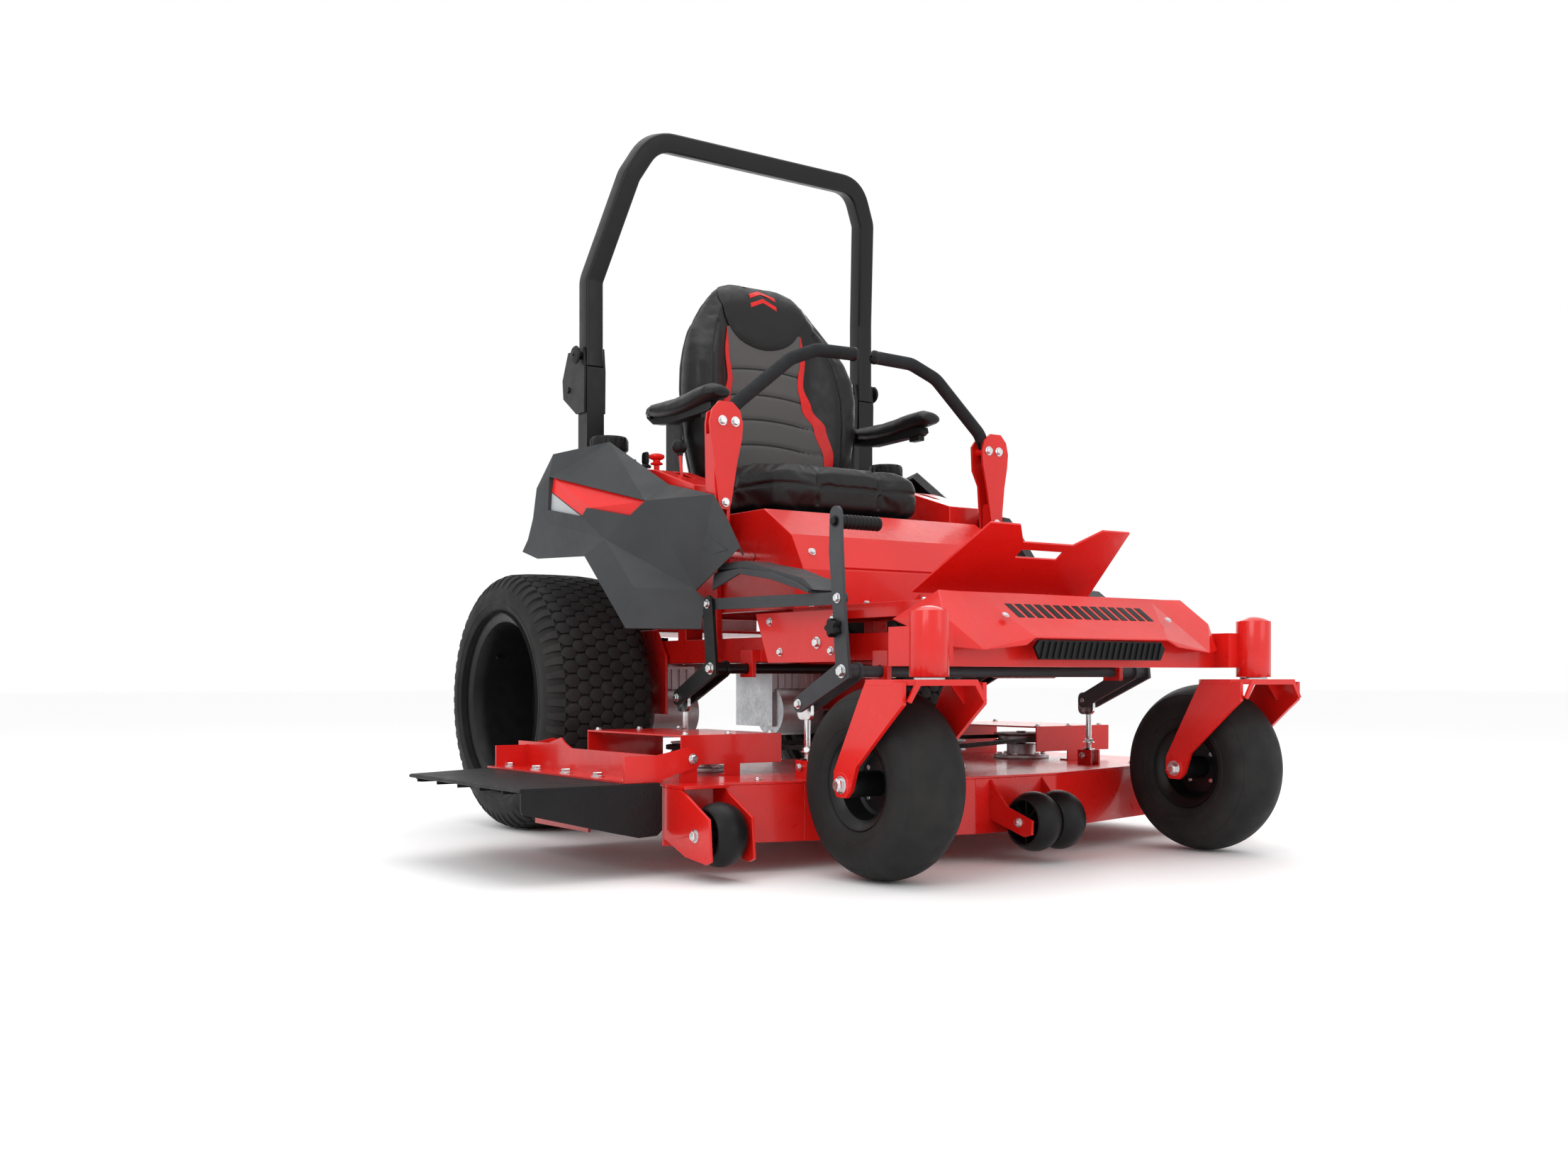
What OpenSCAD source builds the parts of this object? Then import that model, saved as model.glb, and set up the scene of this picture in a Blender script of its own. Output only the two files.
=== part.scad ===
/* [Overall] */
// Distance from the centreline to each caster swivel axis
caster_half_track = 469.5; // [440:1:500]
// How far ahead of the origin the caster swivel axes stand
caster_y = 1000; // [980:5:1010]
// Distance behind the origin of the rear axle
rear_axle_y = 488; // [470:1:520]
// Rearmost face of the engine guard, behind the origin
tail_y = 1053.2; // [1030:0.1:1080]

/* [Wheels] */
// Outer radius of a rear tyre
rear_r = 334; // [325:1:338]
// Width of a rear tyre
rear_w = 304; // [280:2:306]
// Distance from the centreline to the middle of a rear tyre
rear_half_track = 528; // [524:1:534]
// Outer radius of a caster tyre
caster_r = 190.5; // [180:0.5:191]
// Width of a caster tyre
caster_w = 156; // [140:2:160]
// How far a caster wheel trails its swivel axis
caster_trail = 137; // [130:1:140]

/* [Deck] */
// Half width of the deck shell
deck_half = 785; // [770:1:790]
// Height of the deck's top above the ground
deck_top = 183; // [178:1:190]
// Height of the deck's skirt edge above the ground
deck_low = 60; // [50:1:70]
// Thickness of the deck's sheet
deck_t = 5; // [4:0.5:6]
// Blade length
blade_len = 520; // [500:2:524]
// Sideways distance from the middle spindle to an outer one
spindle_dx = 495; // [490:1:505]
// How far ahead of the origin the outer spindles stand
spindle_outer_y = 235; // [230:1:240]
// How far ahead of the origin the middle spindle stands
spindle_mid_y = 465; // [462:1:470]

/* [Roll bar] */
// Distance from the centreline to the middle of a post
rops_x = 448; // [446:1:452]
// Side of the square tube
rops_tube = 50; // [46:1:50]
// Height of the hoop's top
rops_top = 1832; // [1780:1:1850]
// Height of the fold pivot
rops_pivot_z = 1160; // [1155:1:1165]

/* [Seat] */
// Half width of the seat cushion
seat_half = 255; // [230:1:265]
// Height of the cushion's top
seat_top = 925; // [905:1:935]
// Height of the backrest's top
back_top = 1490; // [1450:1:1500]

/* [Hidden] */
$fn = 48;
// Radial gap of a running fit, and of a loose one
fit = 0.05;
loose = 0.4;
// Gap between plates that are fixed side by side
seam = 0.3;
// The discharge chute sticks out on the right, so the whole machine is moved left by this
chute_out = 1097;
centre_x = (chute_out - deck_half) / 2;

red = "crimson";
dark = "dimgray";
black = [0.12, 0.12, 0.12];
silver = "silver";

// Front and rear lift cranks: shaft centre, lift pin and tie bar pin, as [y, z]
crank_f = [-700, 408];
crank_r = [-195, 416];
lift_pin = [154, -69];
tie_pin = [15, 150];
lift_x = 424;
crank_in = 404;
crank_out = 440;
crank_t = 8;
shaft_r = 12;
pin_r = 6;

// Discharge chute hinge, as [x, z]
hinge = [-716, 231];
// Lap bar: fore and aft pivot [y, z], swing-out pivot [x, z]
arm_pivot = [-194.5, 680];
swing = [422.5, 800];
// Roll bar fold pivot y, and lock pin [y, z]
rops_y = 400;
pivot_y = 470;
lock = [400, 1240];
// Armrest pivot, as [y, z]
arm_hinge = [262, 1082];
// Dash controls: key and knob places, throttle pivot [y, z]
key_y = 195;
knob_y = 138;
throttle_pivot = [25, 862];
// Blade, spindle and pulley heights
blade_z = 80;
pulley_z = 226;
pulley_r = 72;
pulley_h = 24;
// Rollers on the deck: radius, width, height of the centre
roller_r = 64;
roller_w = 66;
roller_z = 90;
side_roller = [730, -680];
mid_roller = [36, -830];

// ---- helpers ----

// Everything is drawn about the machine's own centreline and moved into place here
module placed() {
    translate([centre_x, 0, 0]) children();
}

// What is drawn on the left (+X) is repeated on the right
module both() {
    children();
    mirror([1, 0, 0]) children();
}

// Draws what is modelled for the left on the side s, -1 right and 1 left
module side(s) {
    if (s > 0) children();
    else mirror([1, 0, 0]) children();
}

// A box given by its two corners
module box(a, b) {
    translate(a) cube(b - a);
}

// A cylinder along X from x0 to x1 at [y, z]
module rod_x(x0, x1, yz, r) {
    translate([x0, yz[0], yz[1]]) rotate([0, 90, 0]) cylinder(h = x1 - x0, r = r);
}

// A cylinder along Y from y0 to y1 at [x, z]
module rod_y(y0, y1, xz, r) {
    translate([xz[0], y0, xz[1]]) rotate([-90, 0, 0]) cylinder(h = y1 - y0, r = r);
}

// A plate in the YZ plane from x0 to x1
module plate_x(x0, x1, pts) {
    translate([x0, 0, 0]) rotate([90, 0, 90]) linear_extrude(x1 - x0) polygon(pts);
}

// A plate in the XZ plane from y0 to y1
module plate_y(y0, y1, pts) {
    translate([0, y1, 0]) rotate([90, 0, 0]) linear_extrude(y1 - y0) polygon(pts);
}

// A flat outline in the YZ plane, given thickness from x0 to x1
module slab_x(x0, x1) {
    translate([x0, 0, 0]) rotate([90, 0, 90]) linear_extrude(x1 - x0) children();
}

// The outline of a bar between two [y, z] points, with rounded ends
module link(a, b, w) {
    t = atan2(b[1] - a[1], b[0] - a[0]);
    polygon([for (end = [0, 1], k = [0:8])
        let (q = t + 90 + 180 * end + 22.5 * k) (end == 0 ? a : b) + w / 2 * [cos(q), sin(q)]]);
}

// A round tube swept through a list of points that lie near one XZ plane
sides = 16;
function along(pts, i) = unit(
    (i > 0 ? unit(pts[i] - pts[i - 1]) : [0, 0, 0]) +
    (i < len(pts) - 1 ? unit(pts[i + 1] - pts[i]) : [0, 0, 0]));
function ring(p, t, r) = let (u = unit(cross(t, [0, 1, 0])), v = cross(t, u))
    [for (k = [0:sides - 1]) p + r * (cos(360 * k / sides) * u + sin(360 * k / sides) * v)];
module tube(pts, r) {
    last = len(pts) - 1;
    polyhedron(
        points = [for (i = [0:last]) each ring(pts[i], along(pts, i), r)],
        faces = concat(
            [[for (k = [0:sides - 1]) k]],
            [for (i = [0:last - 1], k = [0:sides - 1]) let (n = (k + 1) % sides)
                [i * sides + k, (i + 1) * sides + k, (i + 1) * sides + n, i * sides + n]],
            [[for (k = [0:sides - 1]) last * sides + sides - 1 - k]]));
}

// A thin flat facet between points, for folded sheet
module facet(pts, t) {
    hull() for (p = pts) translate(p) sphere(t / 2, $fn = 8);
}

// Polygon points moved inwards by d (points run anticlockwise)
function unit(v) = v / norm(v);
function edge_in(a, b) = let (u = unit(b - a)) [-u[1], u[0]];
function inset_point(p, q, r, d) =
    let (n1 = edge_in(p, q), n2 = edge_in(q, r), s = 1 + n1 * n2) q + (n1 + n2) * d / s;
function inset(pts, d) = [for (i = [0:len(pts) - 1])
    inset_point(pts[(i + len(pts) - 1) % len(pts)], pts[i], pts[(i + 1) % len(pts)], d)];

// ---- frame ----

rail_in = 275;
rail_out = 325;
rail_low = 430;
rail_top = 490;
engine_deck_z = 520;
engine_y = 650;

module rails() {
    difference() {
        both() {
            box([rail_in, beam_front + 70, rail_low], [rail_out, 640, rail_top]);
            // Lugs that carry the two lift shafts
            for (c = [crank_f, crank_r])
                box([338, c[0] - 26, c[1] - 20], [350, c[0] + 26, c[1] + 44]);
            for (c = [crank_f, crank_r])
                box([rail_out, c[0] - 26, rail_low + 2], [338, c[0] + 26, c[1] + 44]);
        }
        for (c = [crank_f, crank_r]) rod_x(-400, 400, c, shaft_r + loose);
    }
}

module main_frame() {
    color(red) {
        rails();
        for (y = [-640, -80, 230]) box([-rail_in, y, rail_low + 6], [rail_in, y + 50, rail_top - 6]);
        both() {
            // Side plates below the floor
            plate_x(388, 394, [[-625, 428], [-350, 428], [-300, 540], [-618, 540]]);
            box([rail_out, -560, 440], [388, -520, 480]);
            box([rail_out, -400, 440], [388, -360, 480]);
            // Rear plates that carry the engine
            difference() {
                plate_x(330, 338, [[200, 300], [520, 300], [660, 420], [660, 519], [250, 519], [200, 450]]);
                rod_x(329, 339, [rear_axle_y, rear_r], 63);
            }
            box([rail_out, 300, 440], [330, 620, 480]);
            // Floor risers
            box([rail_in, -860, rail_top], [rail_out, -820, 545]);
            box([rail_in, -460, rail_top], [rail_out, -420, 545]);
            box([rail_in, 120, rail_top], [rail_out, 160, 552]);
            // Tank brackets that hold the fenders
            box([rail_out, -60, 440], [345, -20, rail_top]);
            box([331, -60, rail_top], [345, -20, 700]);
            box([345, -60, 690], [479.5, -20, 700]);
        }
        difference() {
            box([-338, 440, engine_deck_z], [338, 900, engine_deck_z + 8]);
            translate([0, engine_y, engine_deck_z - 1]) cylinder(h = 10, r = 30);
        }
        both() box([280, 600, rail_top], [320, 640, engine_deck_z]);
    }
}

beam_front = -948;
beam_low = 417;
beam_top = 493;
housing_low = 396.4;
housing_top = 519.7;
stem_r = 16;

module front_axle() {
    color(red) difference() {
        union() {
            box([-caster_half_track, beam_front, beam_low], [caster_half_track, beam_front + 70, beam_top]);
            both() translate([caster_half_track, -caster_y, housing_low])
                cylinder(h = housing_top - housing_low, r = 37.5, $fn = 64);
            both() box([400, -988, beam_low], [caster_half_track, beam_front, beam_top]);
        }
        both() translate([caster_half_track, -caster_y, housing_low - 1])
            cylinder(h = housing_top - housing_low + 2, r = stem_r + fit);
        box([-400, beam_front + 5, beam_low + 5], [400, beam_front + 65, beam_top - 5]);
    }
    color(dark) both() translate([caster_half_track, -caster_y, housing_top]) intersection() {
        cylinder(h = 12, r = 35);
        translate([0, 0, -57]) sphere(67);
    }
}

module nose_plate() {
    t = 4;
    color(red) {
        facet([[-252, -901, 557], [252, -901, 557], [192, -998, 475], [-192, -998, 475],
            [-286, -891, 568], [286, -891, 568]], t);
        facet([[-286, -891, 568], [286, -891, 568], [-286, -862, 566], [286, -862, 566]], t);
        both() {
            facet([[286, -891, 568], [354, -891, 569], [385, -945, 514]], t);
            facet([[286, -891, 568], [385, -945, 514], [329, -996, 449]], t);
            facet([[286, -891, 568], [329, -996, 449], [192, -998, 475]], t);
            facet([[221, -1004, 460], [329, -996, 449], [192, -998, 475]], t);
            facet([[354, -891, 569], [390, -790, 513], [385, -945, 514]], t);
            facet([[385, -945, 514], [390, -966, 455], [329, -996, 449]], t);
        }
    }
}

module nose_inlay() {
    color(black) plate_y(-996, -990.5, [[-150, 427], [150, 427], [190, 458], [176, 470],
        [-176, 470], [-190, 458]]);
}

module floor_pan() {
    color(red) {
        box([-360, -858, 545], [360, -402, 551]);
        both() box([354, -858, 520], [360, -402, 545]);
        box([-360, -408, 551], [-331, -402, 620]);
        box([331, -408, 551], [360, -402, 620]);
    }
    // Plastic sills along both edges of the floor
    color(dark) both() plate_x(372, 446, [[-600, 579], [-560, 606], [-330, 657], [-216, 657],
        [-216, 642], [-330, 642], [-545, 594], [-590, 579]]);
    color(red) both() box([360, -540, 548], [372, -500, 600]);
}

module foot_plate() {
    color(red) translate([0, -693, 579]) rotate([143.9, 0, 0]) difference() {
        linear_extrude(5) polygon([[-261, 0], [261, 0], [204, 229], [121, 229], [74, 177],
            [-74, 177], [-121, 229], [-204, 229]]);
        translate([-62, 128, -1]) cube([124, 26, 8]);
    }
    color(red) both() plate_x(230, 236, [[-700, 551], [-660, 551], [-680, 566], [-695, 574]]);
}

pod = [[-402, 552], [320, 552], [320, 790], [-240, 790], [-352, 722], [-400, 640]];

module seat_pod() {
    color(red) {
        difference() {
            plate_x(-330, 330, pod);
            translate([0, 0, 0]) plate_x(-326, 326, inset(pod, 4));
            box([-300, -300, 540], [300, 300, 560]);
        }
        // Side consoles
        both() difference() {
            plate_x(345, 448, [[-120, 720], [228, 720], [228, 930], [60, 905], [-120, 850]]);
            plate_x(349, 444, [[-116, 724], [224, 724], [224, 925], [61, 901], [-116, 847]]);
            box([360, -90, 710], [440, 200, 730]);
            // Slot of the throttle lever and hole of the knob's stem
            box([382, -20, 850], [402, 84, 930]);
            translate([400, knob_y, 890]) cylinder(h = 40, r = 8);
        }
        both() box([330.3, 0, 730], [345, 160, 760]);
    }
}

fender_side = [[-95, 508], [100, 690], [452, 724], [390, 805], [371, 875], [310, 955],
    [252, 958], [199, 987], [-18, 859], [-228, 814], [-348, 674], [-200, 655], [-193, 598],
    [-160, 508]];

module fender() {
    color(dark) {
        difference() {
            plate_x(480, 640, fender_side);
            plate_x(479, 636, inset(fender_side, 5));
            translate([454, 288, 930]) cylinder(h = 60, r = 38);
        }
        // Filler neck and tank shoulder
        difference() {
            box([385, 236, 860], [480, 346, 955]);
            box([390, 241, 855], [481, 341, 950]);
            translate([454, 288, 940]) cylinder(h = 30, r = 30);
        }
        translate([454, 288, 955]) difference() {
            cylinder(h = 16, r = 38);
            translate([0, 0, -1]) cylinder(h = 18, r = 30);
        }
    }
}

module fuel_cap() {
    color(black) translate([454, 288, 0]) {
        translate([0, 0, 971.4]) cylinder(h = 42, r = 50, $fn = 64);
        translate([0, 0, 945]) cylinder(h = 27, r = 29.5);
    }
}

// ---- roll bar ----

module square_bar(a, b) {
    hull() {
        translate(a) cube([rops_tube, rops_tube, 1], center = true);
        translate(b) cube([rops_tube, rops_tube, 1], center = true);
    }
}

module rops_posts() {
    h = rops_tube / 2;
    color(black) {
        both() {
            box([rops_x - h, rops_y - h, 722], [rops_x + h, rops_y + h, 1210]);
            box([rail_in, rops_y - h, rail_top], [rail_out, rops_y + h, 722 - seam]);
            difference() {
                for (x = [rops_x - h - 6.5, rops_x + h + 0.5])
                    plate_x(x, x + 6, [[380, 1090], [425, 1090], [500, 1140], [505, 1190],
                        [470, 1262], [385, 1262], [378, 1200]]);
                // Path of the lock pin out of the plates
                translate([rops_x - 50, pivot_y, rops_pivot_z]) rotate([90, 0, 90])
                    rotate([0, 0, 60]) rotate_extrude(angle = 75)
                        translate([norm([lock[0] - pivot_y, lock[1] - rops_pivot_z]) - 7, 0])
                            square([14, 100]);
                rod_x(rops_x - 50, rops_x + 50, [pivot_y, rops_pivot_z], 8.4);
            }
        }
        box([-rops_x + h + seam, rops_y - h, 722], [rops_x - h - seam, rops_y + h, 772]);
    }
    color(silver) both() rod_x(rops_x - 36, rops_x + 36, [pivot_y, rops_pivot_z], 8);
}

module rops_hoop() {
    h = rops_tube / 2;
    z0 = 1215;
    r = rops_x;
    color(black) both() difference() {
        union() {
            box([r - h, rops_y - h, z0], [r + h, rops_y + h, 1445]);
            square_bar([r, rops_y, 1445], [388, 310, 1700]);
            square_bar([388, 310, 1700], [355, 292, 1770]);
            hull() {
                translate([355, 292, 1770]) cube([rops_tube, rops_tube, 1], center = true);
                translate([300, 282, rops_top - h]) cube([1, rops_tube, rops_tube], center = true);
            }
            box([0, 282 - h, rops_top - 2 * h], [300, 282 + h, rops_top]);
            // Hinge ear behind each leg
            box([r - h, rops_y + h, z0], [r + h, pivot_y + 20, z0 + 45]);
            box([r - h, pivot_y - 20, rops_pivot_z], [r + h, pivot_y + 20, z0]);
            rod_x(r - h, r + h, [pivot_y, rops_pivot_z], 20);
        }
        rod_x(r - h - 1, r + h + 1, [pivot_y, rops_pivot_z], 8 + loose);
        rod_x(r - h - 1, r + h + 1, lock, 6.1);
    }
}

module rops_lock_pins() {
    color(silver) both() {
        rod_x(rops_x - 38, rops_x + 38, lock, 6);
        rod_x(rops_x + 33, rops_x + 50, lock, 12);
    }
}

// ---- engine and drive ----

module engine_block() {
    color("gray") {
        box([-150, 510, 528], [150, 790, 700]);
        translate([0, engine_y, 700]) cylinder(h = 30, r = 110);
        // Two finned cylinders in a V
        for (s = [-1, 1]) translate([s * 75, 780, 620]) rotate([0, 0, s * -28]) {
            translate([-42, 0, -50]) cube([84, 110, 100]);
            for (i = [0:5]) translate([-62, 12 + i * 17, -66]) cube([124, 6, 132]);
            translate([-58, 110, -62]) cube([116, 36, 124]);
        }
    }
}

module engine_shroud() {
    color(black) {
        difference() {
            translate([0, engine_y, 731]) cylinder(h = 105, r = 175, $fn = 64);
            translate([0, engine_y, 730]) cylinder(h = 100, r = 170, $fn = 64);
        }
        // Air cleaner canister and its elbow
        translate([-110, engine_y - 20, 905]) rotate([0, 90, 0]) cylinder(h = 260, r = 62);
        box([-20, engine_y - 60, 836], [60, engine_y + 20, 850]);
    }
}

module muffler() {
    color("gray") {
        translate([0, 974, 560]) rotate([0, 90, 0]) cylinder(h = 380, r = 36, center = true);
        both() translate([110, 974, 590]) cylinder(h = 60, r = 12);
    }
}

module drive_pulleys() {
    color("gray") translate([0, engine_y, 0]) {
        translate([0, 0, 385]) cylinder(h = 143, r = 14.95);
        translate([0, 0, 388]) cylinder(h = 44, r = 70);
        translate([0, 0, 446]) cylinder(h = 22, r = 62);
    }
}

module rear_bumper() {
    color(black) {
        both() {
            box([288, 641, rail_low], [328, 1013, rail_low + 50]);
            box([288, 973, rail_low + 50], [328, 1013, 640]);
        }
        box([-328, 1013, rail_low], [328, tail_y, rail_low + 50]);
        box([-328, 1013, 600], [328, tail_y, 640]);
    }
}

axle_r = 20;

module transaxles() {
    color(silver) both() difference() {
        union() {
            box([130, 400, 255], [300, 590, 425]);
            rod_x(300, 360, [rear_axle_y, rear_r], 62);
            rod_x(140, 280, [rear_axle_y - 60, 300], 70);
            translate([215, 495, 425]) cylinder(h = 60, r = 55);
        }
        rod_x(240, 361, [rear_axle_y, rear_r], axle_r + fit);
    }
}

// A wheel's profile is [radius, distance along the axle]; it is turned about X
module turned(pts, at, fn = 96) {
    translate(at) rotate([0, 90, 0]) rotate_extrude($fn = fn) polygon(pts);
}

module rear_rim() {
    at = [rear_half_track, rear_axle_y, rear_r];
    w = rear_w / 2;
    color(black) {
        // Barrel
        turned([[196, -50], [205, -w + 30], [205, -w + 14], [230, -w + 14], [230, -w + 20],
            [211, -w + 26], [203, -60], [203, 90], [211, w - 29], [230, w - 23], [230, w - 17],
            [205, w - 17], [197, 92], [196, -42]], at);
        // Disc and hub
        turned([[0, -70], [62, -70], [62, -58], [196 - seam, -50], [196 - seam, -42], [62, -48],
            [0, -48]], at);
    }
    color(silver) {
        rod_x(250, at[0] - 70, [at[1], at[2]], axle_r);
        rod_x(at[0] - 48, at[0] - 28, [at[1], at[2]], 16);
        for (i = [0:4]) translate(at) rotate([i * 72, 0, 0]) translate([-72, 45, 0])
            rotate([0, 90, 0]) cylinder(h = 42, r = 6.2);
    }
}

module rear_tyre() {
    at = [rear_half_track, rear_axle_y, rear_r];
    w = rear_w / 2;
    r = rear_r;
    color(black) turned([[212, -w + 27], [231, -w + 21], [231.5, -w + 8], [262, -w], [290, -w + 4],
        [314, -w + 16], [328, -w + 32], [r - 1, -70], [r, 0], [r - 1, 70], [328, w - 32],
        [314, w - 16], [290, w - 4], [262, w], [231.5, w - 12], [231, w - 24], [212, w - 30], [204, 88],
        [204, -60]], at, 120);
}

caster_in = 93;
caster_plate_z = 380;

module caster_fork() {
    x = caster_half_track;
    y = -caster_y;
    wheel = [-caster_y + caster_trail, caster_r];
    color(red) {
        difference() {
            union() {
                box([x - caster_in - 10, y - 45, caster_plate_z], [x + caster_in + 10, y + 70, 391.5]);
                for (s = [-1, 1]) translate([x, 0, 0]) side(s)
                    plate_x(caster_in, caster_in + 10, [[y - 45, 391.5], [y + 70, 391.5], [y + 82, 350],
                        [y + 160, 215], [y + 162, 180], [y + 150, 166], [y + 124, 166],
                        [y + 108, 182], [y + 95, 225], [y - 20, 325], [y - 45, 345]]);
                translate([x, y, 391.4]) cylinder(h = 114, r = stem_r);
            }
            rod_x(x - 130, x + 130, wheel, 10);
        }
    }
    color(silver) {
        rod_x(x - 104, x + 104, wheel, 10);
        rod_x(x - 117.5, x - 103, wheel, 15);
        rod_x(x + 103, x + 117.5, wheel, 15);
    }
}

module caster_rim() {
    at = [caster_half_track, -caster_y + caster_trail, caster_r];
    color(black) turned([[10 + fit, -90], [26, -90], [26, -20], [70, -8], [76, -50], [88, -60],
        [88, -55], [78, -46], [74, 0], [78, 46], [88, 55], [88, 60], [76, 50], [70, 8],
        [26, 20], [26, 90], [10 + fit, 90]], at);
}

module caster_tyre() {
    at = [caster_half_track, -caster_y + caster_trail, caster_r];
    w = caster_w / 2;
    r = caster_r;
    color(black) turned([[79, -45.5], [89, -55.5], [89, -62], [112, -w + 2], [140, -w], [160, -w + 8],
        [176, -w + 22], [r - 4, -30], [r, 0], [r - 4, 30], [176, w - 22], [160, w - 8],
        [140, w], [112, w - 2], [89, 62], [89, 55.5], [79, 45.5], [75, 0]], at);
}

// ---- cutting deck ----

deck_left = [[-120, -740], [120, -740], [500, -640], [785, -560], [785, 30], [760, 60],
    [-760, 60], [-785, 30], [-785, -560], [-500, -640]];
spindles = [[-spindle_dx, -spindle_outer_y], [0, -spindle_mid_y], [spindle_dx, -spindle_outer_y]];

// A top plate and mitred wall plates, with a narrow gap between neighbours
module deck_shell() {
    inner = inset(deck_left, deck_t);
    color(red) {
        difference() {
            translate([0, 0, deck_top - deck_t]) linear_extrude(deck_t) polygon(deck_left);
            for (p = spindles) translate([p[0], p[1], deck_low]) cylinder(h = 200, r = 40);
        }
        difference() {
            translate([0, 0, deck_low]) linear_extrude(deck_top - deck_t - seam - deck_low)
                polygon(deck_left);
            translate([0, 0, deck_low - 1]) linear_extrude(deck_top) polygon(inner);
            for (i = [0:len(deck_left) - 1]) {
                out = deck_left[i] - inner[i];
                translate([inner[i][0], inner[i][1], deck_low + 60]) rotate([0, 0, atan2(out[1], out[0])])
                    cube([40, seam, 200], center = true);
            }
            // Discharge opening on the right
            box([-deck_half - 1, -552, deck_low - 1], [-deck_half + 8, -236, deck_top]);
        }
    }
}

// Brackets that stand against the deck's outer faces: rollers, lift rods and the chute's hinge
module deck_brackets() {
    color(red) difference() {
        both() {
            for (x = [side_roller[0] - 49, side_roller[0] + 49])
                plate_x(x, x + 6, [[-558, 176], [-625, 176], [-728, 125], [-735, 45], [-718, 38],
                    [-640, 46], [-574, 70], [-558, 75]]);
            box([side_roller[0] - 49, -640, 176 + seam], [side_roller[0] + 55, -562, deck_top]);
        }
        translate([0, 0, deck_low]) linear_extrude(deck_top - deck_low) polygon(deck_left);
        both() rod_x(side_roller[0] - 60, side_roller[0] + 60, [side_roller[1], roller_z], pin_r);
    }
    // Plates for the middle pair
    color(red) difference() {
        both() plate_x(74, 80, [[-740, 176], [-795, 120], [-870, 96], [-868, 66], [-845, 60], [-740, 90]]);
        rod_x(-90, 90, [mid_roller[1], roller_z], pin_r);
    }
    // Lift brackets
    color(red) for (c = [crank_f, crank_r]) both() difference() {
        for (x = [lift_x - 16, lift_x + 10])
            box([x, c[0] + lift_pin[0] - 22, deck_top], [x + 6, c[0] + lift_pin[0] + 22, deck_top + 36]);
        rod_x(lift_x - 20, lift_x + 20, [c[0] + lift_pin[0], deck_top + 22], 5);
    }
    // Hinge lugs of the discharge chute
    color(red) difference() {
        for (y = [-549, 44]) box([-740, y, deck_top], [-700, y + 5, 246]);
        rod_y(-560, 60, hinge, pin_r);
    }
}

module belt_covers() {
    color(red) both() difference() {
        belt_cover();
        // Notch round the rear lift rod
        box([380, crank_r[0] + lift_pin[0] - 34, 200], [446, 40, 280]);
    }
}

module belt_cover() {
    union() {
        box([390, -400, 268], [650, 30, 272]);
        box([390, -400, 208], [650, -396, 268]);
        box([390, 26, deck_top], [650, 30, 268]);
        box([500, -400, deck_top], [540, -396, 208]);
        box([500, -396, deck_top], [540, -372, deck_top + 4]);
    }
}

module spindle_housings() {
    color(silver) for (p = spindles) translate([p[0], p[1], 0]) difference() {
        union() {
            translate([0, 0, deck_top]) cylinder(h = 10, r = 72);
            translate([0, 0, 120]) cylinder(h = 64, r = 39.9);
            translate([0, 0, deck_top]) cylinder(h = 38, r = 38);
        }
        translate([0, 0, 119]) cylinder(h = 120, r = 12.5 + fit);
    }
}

module blade(i) {
    p = spindles[i];
    translate([p[0], p[1], 0]) {
        color(dark) {
            difference() {
                translate([0, 0, blade_z + 3]) cube([blade_len, 64, 6], center = true);
                translate([0, 0, blade_z - 1]) cylinder(h = 8, r = 12.5);
            }
            for (s = [0, 180]) rotate([0, 0, s]) translate([blade_len / 2 - 90, 20, blade_z + 6])
                rotate([28, 0, 0]) translate([0, -2, 0]) cube([80, 14, 4]);
        }
        color(silver) {
            translate([0, 0, blade_z - 12]) cylinder(h = 186, r = 12.5);
            translate([0, 0, blade_z + 6]) cylinder(h = 30, r = 22);
            translate([0, 0, blade_z - 12]) cylinder(h = 12, r = 20);
        }
        color(black) difference() {
            rotate_extrude($fn = 96) polygon([[12.4, 0], [pulley_r, 0], [pulley_r, 3], [pulley_r - 12, 8],
                [pulley_r - 12, 16], [pulley_r, 21], [pulley_r, pulley_h], [12.4, pulley_h]]
                + [for (k = [0:7]) [0, pulley_z]]);
        }
    }
}

module belt_loop(r) {
    hull() for (p = spindles) translate(p) circle(r, $fn = 48);
}

module deck_belt() {
    color(black) translate([0, 0, pulley_z + 7]) linear_extrude(10) difference() {
        belt_loop(pulley_r + 11);
        belt_loop(pulley_r + 2);
    }
}

module chute_flap() {
    // Top sheet, its front wall and a rear rib
    color(black) {
        translate([0, 0, 179]) linear_extrude(8)
            polygon([[-1097, -566], [-795, -566], [-795, 100], [-870, 100], [-1097, 0]]);
        plate_y(-566, -558, [[-1090, 136], [-845, 80], [-800, 82], [-790, 92], [-790, 179],
            [-1097, 179], [-1097, 142]]);
        box([-1080, -6, 168], [-1000, 0, 179]);
    }
}

module chute_bracket() {
    color(red) {
        box([-872, -556, 187], [-790, 100, 191]);
        plate_x(-794, -790, [[-556, 191], [100, 191], [100, 248], [-60, 248], [-120, 262],
            [-135, 252], [-170, 240], [-556, 240]]);
        difference() {
            for (y = [-556, 51]) plate_y(y, y + 5, [[-872, 191], [-790, 191], [-728, 208],
                [-702, 214], [-694, 231], [-702, 248], [-728, 254], [-800, 240], [-872, 240]]);
            rod_y(-560, 60, hinge, pin_r + loose);
        }
    }
    color(silver) for (y = [-520, -385, -240, -95, 50]) translate([-840, y, 191]) cylinder(h = 8, r = 9);
}

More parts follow.
